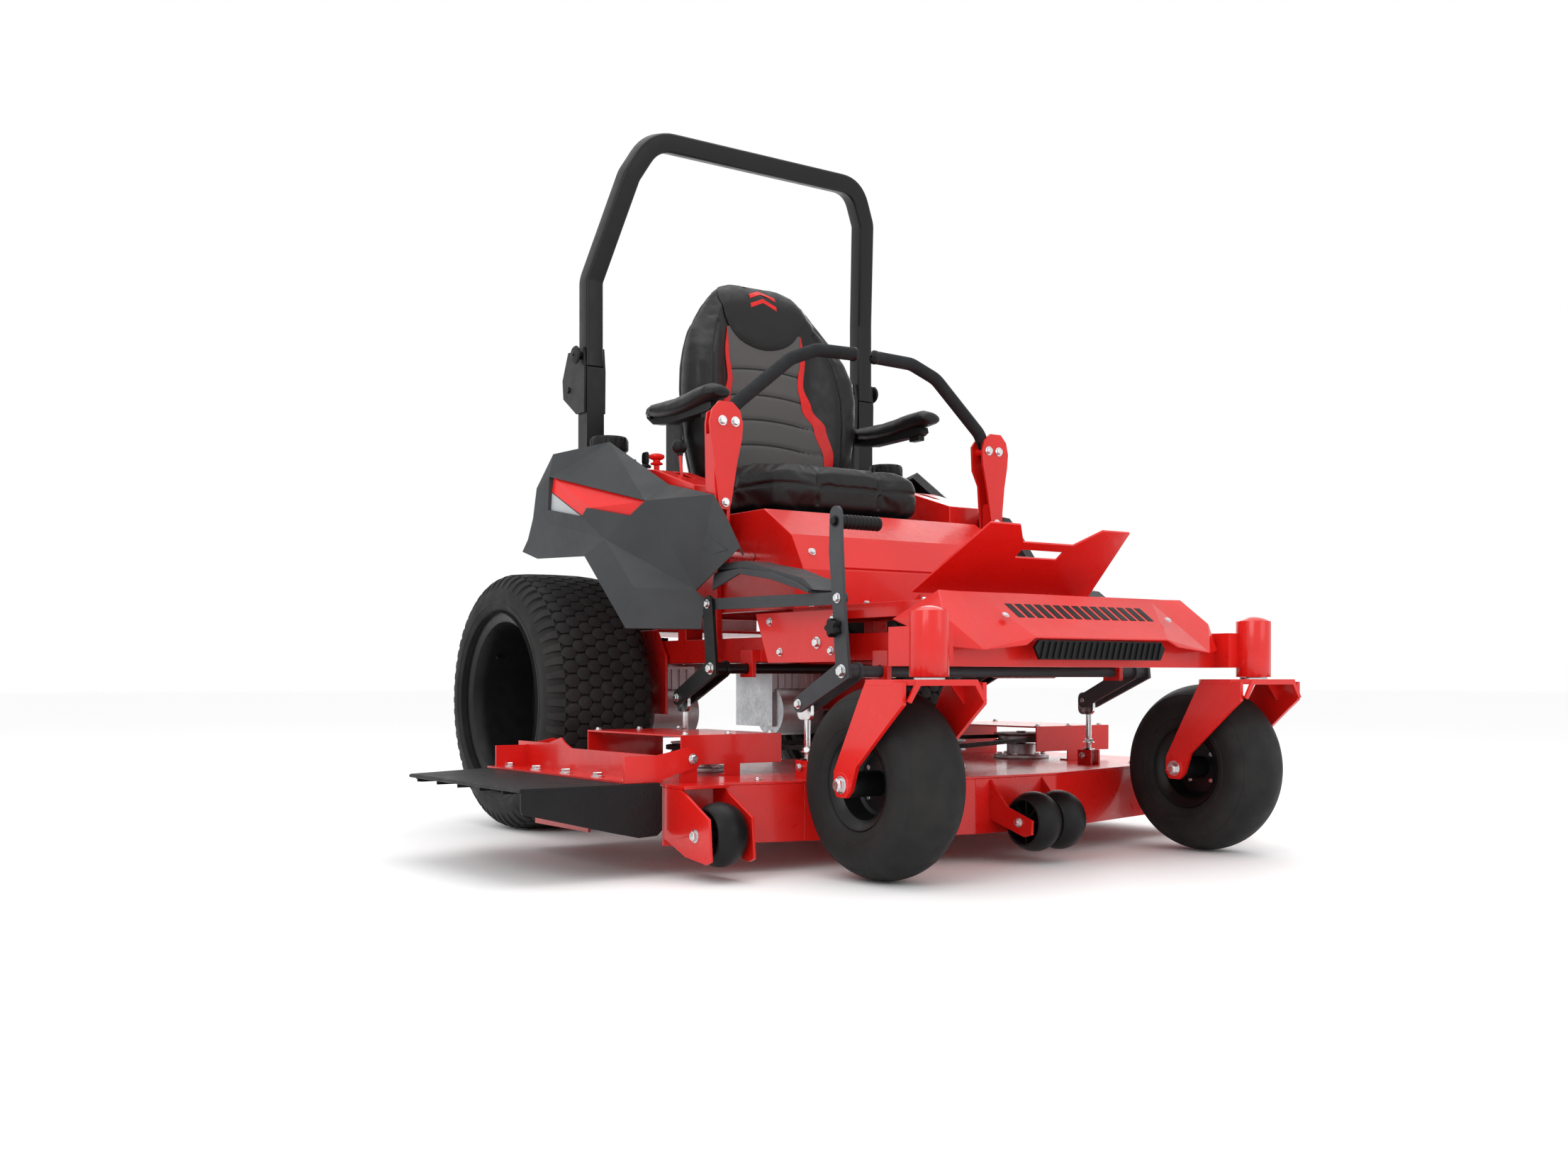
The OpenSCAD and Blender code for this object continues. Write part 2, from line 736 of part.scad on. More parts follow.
module roller(x, at) {
    color(black) turned([[pin_r + loose, -roller_w / 2], [16, -roller_w / 2], [18, -10], [40, -10],
        [44, -roller_w / 2 + 4], [50, -roller_w / 2], [58, -22], [roller_r, -6], [roller_r, 6],
        [58, 22], [50, roller_w / 2], [44, roller_w / 2 - 4], [40, 10], [18, 10],
        [16, roller_w / 2], [pin_r + loose, roller_w / 2]], [x, at[1], roller_z]);
}

// ---- deck lift ----

module lift_crank(c, pedal) {
    a = c + lift_pin;
    b = c + tie_pin;
    color(pedal ? dark : black) {
        rod_x(-crank_in - 4, crank_in + 4, c, shaft_r);
        both() {
            slab_x(crank_in, crank_in + crank_t) link(c, a, 36);
            rod_x(crank_in + crank_t, crank_out, c, 15);
        }
        crank_plate(a, b, c);
        mirror([1, 0, 0]) {
            crank_plate(a, b, c, pedal);
            if (pedal) rod_x(crank_out - 105, crank_out, [b[0] + 8, 716], 15);
        }
    }
    color(silver) both() {
        rod_x(crank_in - 4, crank_out + crank_t + 8, a, pin_r);
        rod_x(crank_out - 16, crank_out + crank_t + 8, b, pin_r);
    }
}

// Outer plate of a crank, with the pedal arm on it or without
module crank_plate(a, b, c, pedal = false) {
    slab_x(crank_out, crank_out + crank_t) {
        link(c, a, 36);
        link(c, b, 40);
        if (pedal) polygon([[b[0] - 16, b[1]], [b[0] + 16, b[1]], [b[0] + 32, 655],
            [b[0] + 32, 735], [b[0] + 22, 748], [b[0] - 8, 748], [b[0] - 14, 655]]);
    }
}

module tie_bars() {
    a = crank_f + tie_pin;
    b = crank_r + tie_pin;
    color(dark) both() slab_x(lift_x + 6, lift_x + 14) difference() {
        link(a, b, 26);
        for (p = [a, b]) translate(p) circle(pin_r + loose);
    }
}

module deck_hardware() {
    color(silver) {
        // Lift rods with slotted eyes
        for (c = [crank_f, crank_r]) both() {
            y = c[0] + lift_pin[0];
            z = c[1] + lift_pin[1];
            translate([lift_x, y, deck_top + 40]) cylinder(h = z - deck_top - 74, r = 7);
            difference() {
                box([lift_x - 4, y - 18, z - 34], [lift_x + 4, y + 32, z + 20]);
                rod_x(lift_x - 5, lift_x + 5, [y, z], pin_r + 3);
                rod_x(lift_x - 5, lift_x + 5, [y + 14, z], pin_r + 3);
                box([lift_x - 5, y, z - 9], [lift_x + 5, y + 14, z + 9]);
            }
            difference() {
                box([lift_x - 9, y - 12, deck_top + 2], [lift_x + 9, y + 12, deck_top + 40]);
                rod_x(lift_x - 10, lift_x + 10, [y, deck_top + 22], 5);
            }
            rod_x(lift_x - 22, lift_x + 22, [y, deck_top + 22], 5);
        }
        // Roller bolts
        both() {
            rod_x(side_roller[0] - 62, side_roller[0] + 56, [side_roller[1], roller_z], pin_r);
            rod_x(side_roller[0] + 55, side_roller[0] + 62, [side_roller[1], roller_z], 12);
        }
        rod_x(-92, 92, [mid_roller[1], roller_z], pin_r);
        rod_x(-92, -80, [mid_roller[1], roller_z], 11);
        // Hinge bolts of the chute
        rod_y(-566, -540, hinge, pin_r);
        rod_y(40, 62, hinge, pin_r);
    }
}

module lift_springs() {
    color(silver) both() rod_y(-615, -400, [240, 408], 15);
}

module frame_hardware() {
    color(silver) both() {
        // Pivot pins of the control arms, and bolts of the side plates
        rod_x(330, 450, arm_pivot, 10);
        rod_x(394, 402, [-540, 470], 11);
        rod_x(394, 400, [-600, 520], 8);
        rod_x(394, 400, [-360, 520], 8);
    }
}

// ---- controls ----

module control_arm() {
    color(red) difference() {
        union() {
            box([406, -208, arm_pivot[1]], [438, -181, 850]);
            rod_x(406, 438, arm_pivot, 22);
        }
        rod_x(400, 445, arm_pivot, 10 + fit);
        rod_y(-210, -180, swing, pin_r);
    }
    color(silver) {
        rod_y(-226, -163, swing, pin_r);
        rod_y(-226, -219, swing, 11);
    }
}

module lap_bar() {
    color(red) difference() {
        for (y = [-218, -178]) plate_y(y, y + 7, [[404, 778], [440, 778], [450, 985], [446, 1012],
            [430, 1022], [385, 1018], [372, 1002], [376, 940], [396, 900]]);
        rod_y(-220, -170, swing, pin_r + loose);
    }
    color(silver) for (x = [395, 430]) {
        rod_y(-225, -218, [x, 989], 10);
        rod_y(-171, -163, [x, 989], 10);
    }
    color(black) tube([[412, -194.5, 960], [384, -194.5, 1030], [225, -200, 1160],
        [150, -198, 1188], [35, -195, 1192]], 14.5);
}

// ---- seat ----

module seat_base() {
    color(black) {
        both() box([150, -120, 790.5], [180, 270, 798]);
        box([-seat_half + 10, -140, 798], [seat_half - 10, 290, 804]);
        both() {
            box([seat_half - 10, 190, 798], [284, 290, 804]);
            difference() {
                box([278, 215, 804], [284, 290, 1104]);
                rod_x(270, 290, arm_hinge, 8);
            }
            rod_x(276, 300, arm_hinge, 8);
        }
    }
}

module seat_cushion() {
    color(black) hull() {
        for (x = [-seat_half + 30, seat_half - 30]) {
            translate([x, -125, 835]) sphere(30, $fn = 24);
            translate([x, -125, seat_top - 38]) sphere(32, $fn = 24);
            translate([x, 200, seat_top - 36]) sphere(30, $fn = 24);
            translate([x, 190, 836]) sphere(30, $fn = 24);
        }
    }
}

module back_core(grow = 0) {
    color(black) hull() {
        for (s = [-1, 1]) {
            translate([s * 225, 285, 950]) sphere(40 + grow, $fn = 24);
            translate([s * 235, 300, 1200]) sphere(38 + grow, $fn = 24);
            translate([s * 110, 322, back_top - 42]) sphere(40 + grow, $fn = 24);
            translate([s * 200, 325, 950]) sphere(30 + grow, $fn = 24);
            translate([s * 190, 345, 1200]) sphere(36 + grow, $fn = 24);
            translate([s * 100, 350, back_top - 50]) sphere(36 + grow, $fn = 24);
        }
    }
}

// The panel, and side bolsters that stand forward of it
module seat_back() {
    back_core();
    color(black) both() difference() {
        hull() {
            translate([238, 205, 975]) sphere(30, $fn = 24);
            translate([240, 198, 1215]) sphere(28, $fn = 24);
            translate([214, 236, 1320]) sphere(28, $fn = 24);
            translate([222, 268, 970]) sphere(34, $fn = 24);
            translate([222, 275, 1250]) sphere(34, $fn = 24);
        }
        back_core(seam);
    }
}

module armrest() {
    color(black) {
        difference() {
            hull() {
                translate([332, -20, 1078]) sphere(26, $fn = 24);
                translate([332, -20, 1086]) sphere(26, $fn = 24);
                translate([332, 240, 1082]) sphere(30, $fn = 24);
            }
            box([280, 200, 1000], [302, 300, 1120]);
        }
        difference() {
            rod_x(301, 318, arm_hinge, 22);
            rod_x(300, 320, arm_hinge, 8 + loose);
        }
    }
}

// ---- dash ----

module key_switch() {
    color(black) translate([-400, key_y, 0]) {
        translate([0, 0, 928.5]) cylinder(h = 8, r = 14);
        translate([-4, -12, 936]) cube([8, 24, 32]);
    }
}

module pto_knob() {
    color("red") translate([-400, knob_y, 0]) {
        translate([0, 0, 900]) cylinder(h = 46, r = 7);
        translate([0, 0, 942]) cylinder(h = 14, r = 18);
    }
}

module throttle_lever() {
    color("red") {
        translate([-392, throttle_pivot[0], throttle_pivot[1]]) rotate([-8, 0, 0])
            cylinder(h = 90, r = 4);
        rod_x(-398, -386, throttle_pivot, 8);
    }
    color(black) translate([-392, throttle_pivot[0], throttle_pivot[1]]) rotate([-8, 0, 0])
        translate([0, 0, 102]) sphere(17);
}

placed() main_frame();
placed() front_axle();
placed() nose_plate();
placed() nose_inlay();
placed() floor_pan();
placed() foot_plate();
placed() seat_pod();
placed() side(-1) fender();  // fender_right
placed() side(1) fender();  // fender_left
placed() side(-1) fuel_cap();  // fuel_cap_right
placed() side(1) fuel_cap();  // fuel_cap_left
placed() rops_posts();
placed() rops_hoop();
placed() rops_lock_pins();
placed() engine_block();
placed() engine_shroud();
placed() muffler();
placed() drive_pulleys();
placed() rear_bumper();
placed() transaxles();
placed() side(-1) rear_rim();  // rear_rim_right
placed() side(1) rear_rim();  // rear_rim_left
placed() side(-1) rear_tyre();  // rear_tyre_right
placed() side(1) rear_tyre();  // rear_tyre_left
placed() side(-1) caster_fork();  // caster_fork_right
placed() side(1) caster_fork();  // caster_fork_left
placed() side(-1) caster_rim();  // caster_rim_right
placed() side(1) caster_rim();  // caster_rim_left
placed() side(-1) caster_tyre();  // caster_tyre_right
placed() side(1) caster_tyre();  // caster_tyre_left
placed() deck_shell();
placed() deck_brackets();
placed() belt_covers();
placed() spindle_housings();
placed() blade(0);  // blade_right
placed() blade(1);  // blade_centre
placed() blade(2);  // blade_left
placed() deck_belt();
placed() chute_flap();
placed() chute_bracket();
placed() roller(-side_roller[0], side_roller);  // scalp_roller_right
placed() both() roller(mid_roller[0], mid_roller);  // scalp_rollers_centre
placed() roller(side_roller[0], side_roller);  // scalp_roller_left
placed() lift_crank(crank_f, true);  // front_lift_crank
placed() lift_crank(crank_r, false);  // rear_lift_crank
placed() tie_bars();
placed() deck_hardware();
placed() lift_springs();
placed() side(-1) control_arm();  // control_arm_right
placed() side(1) control_arm();  // control_arm_left
placed() side(-1) lap_bar();  // lap_bar_right
placed() side(1) lap_bar();  // lap_bar_left
placed() seat_base();
placed() seat_cushion();
placed() seat_back();
placed() side(-1) armrest();  // armrest_right
placed() side(1) armrest();  // armrest_left
placed() key_switch();
placed() pto_knob();
placed() throttle_lever();
placed() frame_hardware();
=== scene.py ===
import math

import bmesh
import bpy
import numpy as np
from mathutils import Matrix, Vector
from mathutils.bvhtree import BVHTree


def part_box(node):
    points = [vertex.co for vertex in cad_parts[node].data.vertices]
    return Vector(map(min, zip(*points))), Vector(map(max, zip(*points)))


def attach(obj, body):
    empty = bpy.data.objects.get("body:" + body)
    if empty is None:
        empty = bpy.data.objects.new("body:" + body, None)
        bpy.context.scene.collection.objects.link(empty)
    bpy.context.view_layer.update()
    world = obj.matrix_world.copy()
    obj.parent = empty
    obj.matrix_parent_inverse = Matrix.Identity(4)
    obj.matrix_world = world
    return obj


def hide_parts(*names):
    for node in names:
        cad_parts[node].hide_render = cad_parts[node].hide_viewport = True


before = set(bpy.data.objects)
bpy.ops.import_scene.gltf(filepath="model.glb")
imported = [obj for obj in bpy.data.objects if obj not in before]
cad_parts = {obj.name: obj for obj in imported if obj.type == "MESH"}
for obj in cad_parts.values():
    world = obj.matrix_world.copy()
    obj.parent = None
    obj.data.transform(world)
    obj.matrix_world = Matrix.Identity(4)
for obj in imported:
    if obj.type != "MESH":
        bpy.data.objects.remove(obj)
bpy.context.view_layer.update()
scene = bpy.context.scene
scene.view_settings.view_transform = "Standard"

# The machine's centreline, and its height of zero, in the frame (millimetres)
tyre_low, tyre_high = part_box("rear_tyre_right"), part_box("rear_tyre_left")
CENTRE = 500 * (tyre_low[0][0] + tyre_high[1][0])


def at(x, y, z):
    """A point in millimetres about the machine's centreline, as metres in the frame."""
    return Vector(((x + CENTRE) / 1000, y / 1000, z / 1000))


# ---- materials ----


class Graph:
    """A material's nodes, with short calls to add and join them."""

    def __init__(self, name):
        self.mat = bpy.data.materials.new(name)
        self.mat.use_nodes = True
        self.tree = self.mat.node_tree
        self.shader = self.tree.nodes["Principled BSDF"]
        self.place = self.node("ShaderNodeTexCoord").outputs["Object"]

    def node(self, kind, **values):
        made = self.tree.nodes.new(kind)
        for key, value in values.items():
            if key in made.inputs:
                made.inputs[key].default_value = value
            else:
                setattr(made, key, value)
        return made

    def link(self, a, b):
        self.tree.links.new(a, b)

    def noise(self, scale, detail=3.0, rough=0.5, stretch=None):
        made = self.node("ShaderNodeTexNoise", Scale=scale, Detail=detail, Roughness=rough)
        self.link(self.stretched(stretch), made.inputs["Vector"])
        return made.outputs["Fac"]

    def cells(self, scale, feature="F1", stretch=None):
        made = self.node("ShaderNodeTexVoronoi", Scale=scale)
        made.feature = feature
        self.link(self.stretched(stretch), made.inputs["Vector"])
        return made.outputs["Distance"]

    def stretched(self, stretch):
        if stretch is None:
            return self.place
        made = self.node("ShaderNodeMapping")
        made.inputs["Scale"].default_value = stretch
        self.link(self.place, made.inputs["Vector"])
        return made.outputs["Vector"]

    def ranged(self, source, low, high, start=0.3, end=0.7):
        made = self.node("ShaderNodeMapRange")
        made.inputs["From Min"].default_value = start
        made.inputs["From Max"].default_value = end
        made.inputs["To Min"].default_value = low
        made.inputs["To Max"].default_value = high
        self.link(source, made.inputs["Value"])
        return made.outputs["Result"]

    def mixed(self, source, low, high):
        made = self.node("ShaderNodeMix", data_type="RGBA")
        self.link(source, made.inputs["Factor"])
        made.inputs["A"].default_value = (*low, 1)
        made.inputs["B"].default_value = (*high, 1)
        return made.outputs["Result"]

    def bump(self, height, strength, distance, under=None):
        made = self.node("ShaderNodeBump")
        made.inputs["Strength"].default_value = strength
        made.inputs["Distance"].default_value = distance
        self.link(height, made.inputs["Height"])
        if under is not None:
            self.link(under, made.inputs["Normal"])
        return made.outputs["Normal"]

    def set(self, **values):
        for key, value in values.items():
            self.shader.inputs[key.replace("_", " ")].default_value = value

    def out(self, key, source):
        self.link(source, self.shader.inputs[key])


def shade(colour, factor):
    return tuple(c * factor for c in colour)


def painted(name, colour, rough, peel, coat=0.0, wear=0.12, gloss=0.4):
    """Powder coat: an orange-peel skin, slight unevenness of colour and gloss."""
    g = Graph(name)
    g.set(Metallic=0.0, Coat_Weight=coat, Coat_Roughness=0.09, Specular_IOR_Level=gloss)
    cloud = g.ranged(g.noise(5.0, 4.0), 0.0, 1.0)
    g.out("Base Color", g.mixed(cloud, shade(colour, 1 - wear), shade(colour, 1 + wear * 0.5)))
    g.out("Roughness", g.ranged(g.noise(38.0, 4.0), rough - 0.05, rough + 0.08))
    skin = g.bump(g.noise(520.0, 2.0), peel, 0.0006)
    g.out("Normal", g.bump(g.noise(90.0, 2.0), peel * 0.5, 0.0012, skin))
    return g.mat


def moulded(name, colour, rough, scale, depth):
    """Moulded plastic: a fine pebbled grain, and dull patches where it is handled."""
    g = Graph(name)
    g.set(Specular_IOR_Level=0.22)
    cloud = g.ranged(g.noise(7.0, 5.0), 0.0, 1.0)
    g.out("Base Color", g.mixed(cloud, shade(colour, 0.86), shade(colour, 1.1)))
    g.out("Roughness", g.ranged(g.noise(24.0, 5.0), rough - 0.06, rough + 0.08))
    grain = g.bump(g.cells(scale), 0.35, depth)
    g.out("Normal", g.bump(g.noise(scale * 0.35, 3.0), 0.3, depth * 1.5, grain))
    return g.mat


def metal(name, colour, rough, stretch=None, scale=60.0, depth=0.0002, patches=0.12):
    """Bare or plated metal: uneven gloss, and fine scratches or a cast skin."""
    g = Graph(name)
    g.set(Metallic=1.0)
    cloud = g.ranged(g.noise(16.0, 6.0), 0.0, 1.0)
    g.out("Base Color", g.mixed(cloud, shade(colour, 1 - patches), shade(colour, 1.0)))
    g.out("Roughness", g.ranged(g.noise(scale, 5.0, 0.6, stretch), rough - 0.08, rough + 0.14))
    g.out("Normal", g.bump(g.noise(scale * 6, 4.0, 0.6, stretch), 0.4, depth))
    return g.mat


def rubbery(name, colour, rough, dust):
    """Rubber: a dull skin with dust in the low places and faint mould marks."""
    g = Graph(name)
    g.set(Specular_IOR_Level=0.16)
    cloud = g.ranged(g.noise(11.0, 6.0, 0.6), 0.0, 1.0, 0.35, 0.75)
    g.out("Base Color", g.mixed(cloud, colour, dust))
    g.out("Roughness", g.ranged(g.noise(30.0, 5.0), rough - 0.05, rough + 0.12))
    skin = g.bump(g.noise(900.0, 3.0), 0.4, 0.0003)
    g.out("Normal", g.bump(g.noise(140.0, 3.0), 0.25, 0.0006, skin))
    return g.mat


def vinyl(name, colour, rough):
    """Grained seat vinyl: creased cells over a soft unevenness."""
    g = Graph(name)
    g.set(Specular_IOR_Level=0.3, Sheen_Weight=0.02, Sheen_Roughness=0.4)
    cloud = g.ranged(g.noise(9.0, 4.0), 0.0, 1.0)
    g.out("Base Color", g.mixed(cloud, shade(colour, 0.85), shade(colour, 1.15)))
    g.out("Roughness", g.ranged(g.noise(40.0, 4.0), rough - 0.05, rough + 0.08))
    grain = g.bump(g.cells(620.0, "DISTANCE_TO_EDGE"), 0.5, 0.00035)
    g.out("Normal", g.bump(g.noise(60.0, 3.0), 0.2, 0.001, grain))
    return g.mat


def woven(name, colour):
    """Coarse seat cloth: two crossing sets of threads with a slub in them."""
    g = Graph(name)
    g.set(Specular_IOR_Level=0.15, Sheen_Weight=0.05, Sheen_Roughness=0.5)
    heights = []
    for direction in ("X", "Z"):
        wave = g.node("ShaderNodeTexWave", Scale=240.0, Distortion=1.2, Detail=2.0)
        wave.bands_direction = direction
        g.link(g.place, wave.inputs["Vector"])
        heights.append(wave.outputs["Fac"])
    both = g.node("ShaderNodeMath", operation="MULTIPLY")
    g.link(heights[0], both.inputs[0])
    g.link(heights[1], both.inputs[1])
    threads = both.outputs["Value"]
    g.out("Base Color", g.mixed(threads, shade(colour, 0.8), shade(colour, 1.2)))
    g.out("Roughness", g.ranged(g.noise(30.0), 0.78, 0.92))
    g.out("Normal", g.bump(threads, 0.6, 0.0006))
    return g.mat


def foamed(name, colour):
    """Closed-cell foam of a hand grip."""
    g = Graph(name)
    g.set(Specular_IOR_Level=0.15)
    cloud = g.ranged(g.noise(14.0, 4.0), 0.0, 1.0)
    g.out("Base Color", g.mixed(cloud, shade(colour, 0.85), shade(colour, 1.2)))
    g.out("Roughness", g.ranged(g.noise(50.0), 0.62, 0.78))
    g.out("Normal", g.bump(g.cells(900.0), 0.5, 0.0003))
    return g.mat


RED = painted("red_powder_coat", (0.66, 0.009, 0.006), 0.3, 0.16, coat=0.35, gloss=0.35)
BLACK = painted("black_powder_coat", (0.006, 0.006, 0.0065), 0.34, 0.3, gloss=0.28)
GREY = painted("grey_powder_coat", (0.05, 0.055, 0.06), 0.46, 0.6, gloss=0.25)
SHELL = moulded("grey_moulded_plastic", (0.042, 0.044, 0.047), 0.46, 900.0, 0.0002)
PLASTIC = moulded("black_moulded_plastic", (0.006, 0.006, 0.0065), 0.42, 700.0, 0.0003)
LEATHERED = moulded("black_textured_plastic", (0.008, 0.008, 0.009), 0.5, 210.0, 0.0012)
RED_PLASTIC = moulded("red_gloss_plastic", (0.7, 0.014, 0.01), 0.24, 900.0, 0.0001)
ZINC = metal("zinc_plate", (0.78, 0.79, 0.8), 0.22)
STEEL = metal("rolled_steel", (0.36, 0.36, 0.37), 0.34, (1, 14, 14))
CAST = metal("cast_aluminium", (0.62, 0.63, 0.65), 0.42, None, 120.0, 0.0008, 0.25)
RUBBER = rubbery("tyre_rubber", (0.013, 0.013, 0.0135), 0.6, (0.024, 0.023, 0.022))
TREAD = rubbery("tread_rubber", (0.019, 0.019, 0.0195), 0.68, (0.034, 0.033, 0.032))
BELT = rubbery("belt_rubber", (0.012, 0.012, 0.012), 0.7, (0.03, 0.03, 0.03))
VINYL = vinyl("black_vinyl", (0.006, 0.006, 0.0065), 0.4)
RED_VINYL = vinyl("red_vinyl", (0.62, 0.009, 0.008), 0.42)
CLOTH = woven("grey_cloth", (0.115, 0.112, 0.11))
FOAM = foamed("black_foam", (0.016, 0.0175, 0.019))
PALE = painted("pale_grey_stripe", (0.42, 0.44, 0.45), 0.3, 0.05)
STRIPE = painted("red_stripe", (0.74, 0.018, 0.016), 0.22, 0.05)


# ---- shapes ----


def unit(v):
    return Vector(v).normalized()


def square_to(direction):
    """Two directions at right angles to a direction."""
    d = unit(direction)
    other = Vector((0, 0, 1)) if abs(d.z) < 0.9 else Vector((1, 0, 0))
    u = d.cross(other).normalized()
    return u, d.cross(u)


def round_corners(points, radius, steps=6):
    """A path with its inner corners turned into arcs."""
    points = [Vector(p) for p in points]
    made = [points[0]]
    for i in range(1, len(points) - 1):
        here = points[i]
        back, on = unit(points[i - 1] - here), unit(points[i + 1] - here)
        r = radius[i - 1] if isinstance(radius, (list, tuple)) else radius
        angle = back.angle(on)
        cut = min(r / math.tan(angle / 2), (points[i - 1] - here).length * 0.48)
        cut = min(cut, (points[i + 1] - here).length * 0.48)
        a, b = here + back * cut, here + on * cut
        for k in range(steps + 1):
            t = k / steps
            made.append(a * (1 - t) ** 2 + here * (2 * t * (1 - t)) + b * t**2)
    return made + [points[-1]]


def smooth_loop(points, steps=4):
    """A closed Catmull-Rom curve through the points."""
    n = len(points)
    made = []
    for i in range(n):
        p = [Vector(points[(i + k) % n]) for k in (-1, 0, 1, 2)]
        for k in range(steps):
            t = k / steps
            made.append(0.5 * (2 * p[1] + (p[2] - p[0]) * t
                + (2 * p[0] - 5 * p[1] + 4 * p[2] - p[3]) * t**2
                + (3 * p[1] - p[0] - 3 * p[2] + p[3]) * t**3))
    return made


def round_rect(w, h, r, steps=4):
    """A rectangle with round corners, as a list of 2-D points."""
    made = []
    for cx, cy, start in ((1, 1, 0), (-1, 1, 90), (-1, -1, 180), (1, -1, 270)):
        for k in range(steps + 1):
            q = math.radians(start + 90 * k / steps)
            made.append((cx * (w / 2 - r) + r * math.cos(q), cy * (h / 2 - r) + r * math.sin(q)))
    return made


def circle(r, n=24):
    return [(r * math.cos(2 * math.pi * k / n), r * math.sin(2 * math.pi * k / n)) for k in range(n)]


class Shape:
    """Closed shells of one piece, in millimetres about the machine's centreline."""

    def __init__(self):
        self.v, self.f, self.m = [], [], []

    def add(self, verts, faces, m=0):
        n = len(self.v)
        self.v += [Vector(p) for p in verts]
        self.f += [[i + n for i in f] for f in faces]
        self.m += [m] * len(faces)
        return self

    def rings(self, rings, m=0, closed=False, caps=True):
        """Skins a list of rings with the same number of points."""
        n, rows = len(rings[0]), len(rings)
        faces = []
        for i in range(rows if closed else rows - 1):
            a, b = i * n, ((i + 1) % rows) * n
            faces += [[a + k, a + (k + 1) % n, b + (k + 1) % n, b + k] for k in range(n)]
        if caps and not closed:
            faces += [list(range(n))[::-1], [(rows - 1) * n + k for k in range(n)]]
        return self.add([p for ring in rings for p in ring], faces, m)

    def prism(self, outline, axis, a, b, m=0):
        """An outline in the plane across an axis, given thickness from a to b."""
        place = {"x": lambda p, t: (t, p[0], p[1]), "y": lambda p, t: (p[0], t, p[1]),
                 "z": lambda p, t: (p[0], p[1], t)}[axis]
        return self.rings([[place(p, t) for p in outline] for t in (a, b)], m)

    def box(self, a, b, m=0):
        outline = [(a[0], a[1]), (b[0], a[1]), (b[0], b[1]), (a[0], b[1])]
        return self.prism(outline, "z", a[2], b[2], m)

    def lathe(self, profile, centre, direction, n=64, m=0, closed=True):
        """Turns a profile of [radius, distance along the axis] about an axis."""
        d = unit(direction)
        u, w = square_to(d)
        rings = []
        for k in range(n):
            q = 2 * math.pi * k / n
            out = u * math.cos(q) + w * math.sin(q)
            rings.append([Vector(centre) + out * p[0] + d * p[1] for p in profile])
        if closed:
            return self.rings(rings, m, closed=True)
        count = len(profile)
        faces = []
        for k in range(n):
            a, b = k * count, ((k + 1) % n) * count
            faces += [[a + i, a + i + 1, b + i + 1, b + i] for i in range(count - 1)]
        faces += [[k * count for k in range(n)], [k * count + count - 1 for k in range(n)][::-1]]
        return self.add([p for ring in rings for p in ring], faces, m)

    def rod(self, a, b, r, n=24, m=0, chamfer=0.8):
        """A round bar between two points with its end edges broken."""
        a, b = Vector(a), Vector(b)
        length = (b - a).length
        c = min(chamfer, r * 0.4)
        profile = [(r - c, 0), (r, c), (r, length - c), (r - c, length)]
        return self.lathe(profile, a, b - a, n, m, closed=False)

    def sweep(self, path, outline, m=0, first=None, closed=False):
        """Carries an outline along a path, without twist."""
        path = [Vector(p) for p in path]
        n = len(path)
        tangents = []
        for i in range(n):
            a = path[i - 1] if i or closed else path[0]
            b = path[(i + 1) % n] if i < n - 1 or closed else path[-1]
            tangents.append((b - a).normalized())
        u = square_to(tangents[0])[0] if first is None else Vector(first)
        rings = []
        for p, t in zip(path, tangents):
            u = (u - t * u.dot(t)).normalized()
            w = t.cross(u)
            rings.append([p + u * q[0] + w * q[1] for q in outline])
        return self.rings(rings, m, closed)

    def coil(self, a, b, radius, wire, turns, m=0, hook=0.0):
        """A helical spring between two points, with a hook at each end."""
        a, b = Vector(a), Vector(b)
        d = unit(b - a)
        u, w = square_to(d)
        steps = int(turns * 14)
        path = []
        if hook:
            path += [a + u * radius * 0.9 - d * hook, a - d * hook * 1.6, a - d * hook * 0.6]
        for k in range(steps + 1):
            q = 2 * math.pi * turns * k / steps
            path.append(a + d * (b - a).length * k / steps + (u * math.cos(q) + w * math.sin(q)) * radius)
        if hook:
            path += [b + d * hook * 0.6, b + d * hook * 1.6, b + u * radius * 0.9 + d * hook]
        return self.sweep(path, circle(wire, 8), m)

    def bolt(self, centre, direction, size=8, m=0, head=None, washer=True, turn=20):
        """A hex head with a domed top on a washer; the direction points out of the head."""
        c, d = Vector(centre), unit(direction)
        u, w = square_to(d)
        high = head or size * 0.65
        base = 0.0
        if washer:
            base = size * 0.18
            self.lathe([(size * 0.5, 0), (size * 1.2, 0), (size * 1.2, base), (size * 0.5, base)], c, d, 24,
                    m)
        rings = []
        for r, t in ((0.86, 0), (0.92, 0.12), (0.92, 0.82), (0.78, 1.0)):
            ring = []
            for k in range(6):
                q = math.radians(60 * k + turn)
                ring.append(c + d * (base + high * t) + (u * math.cos(q) + w * math.sin(q)) * size * r)
            rings.append(ring)
        return self.rings(rings, m)

    def turned(self, matrix):
        self.v = [matrix @ p for p in self.v]
        return self

    def mirror(self):
        made = Shape()
        made.v = [Vector((-p.x, p.y, p.z)) for p in self.v]
        made.f = [f[::-1] for f in self.f]
        made.m = list(self.m)
        return made

    def join(self, other):
        n = len(self.v)
        self.v += other.v
        self.f += [[i + n for i in f] for f in other.f]
        self.m += other.m
        return self

    def both(self):
        return self.join(self.mirror())


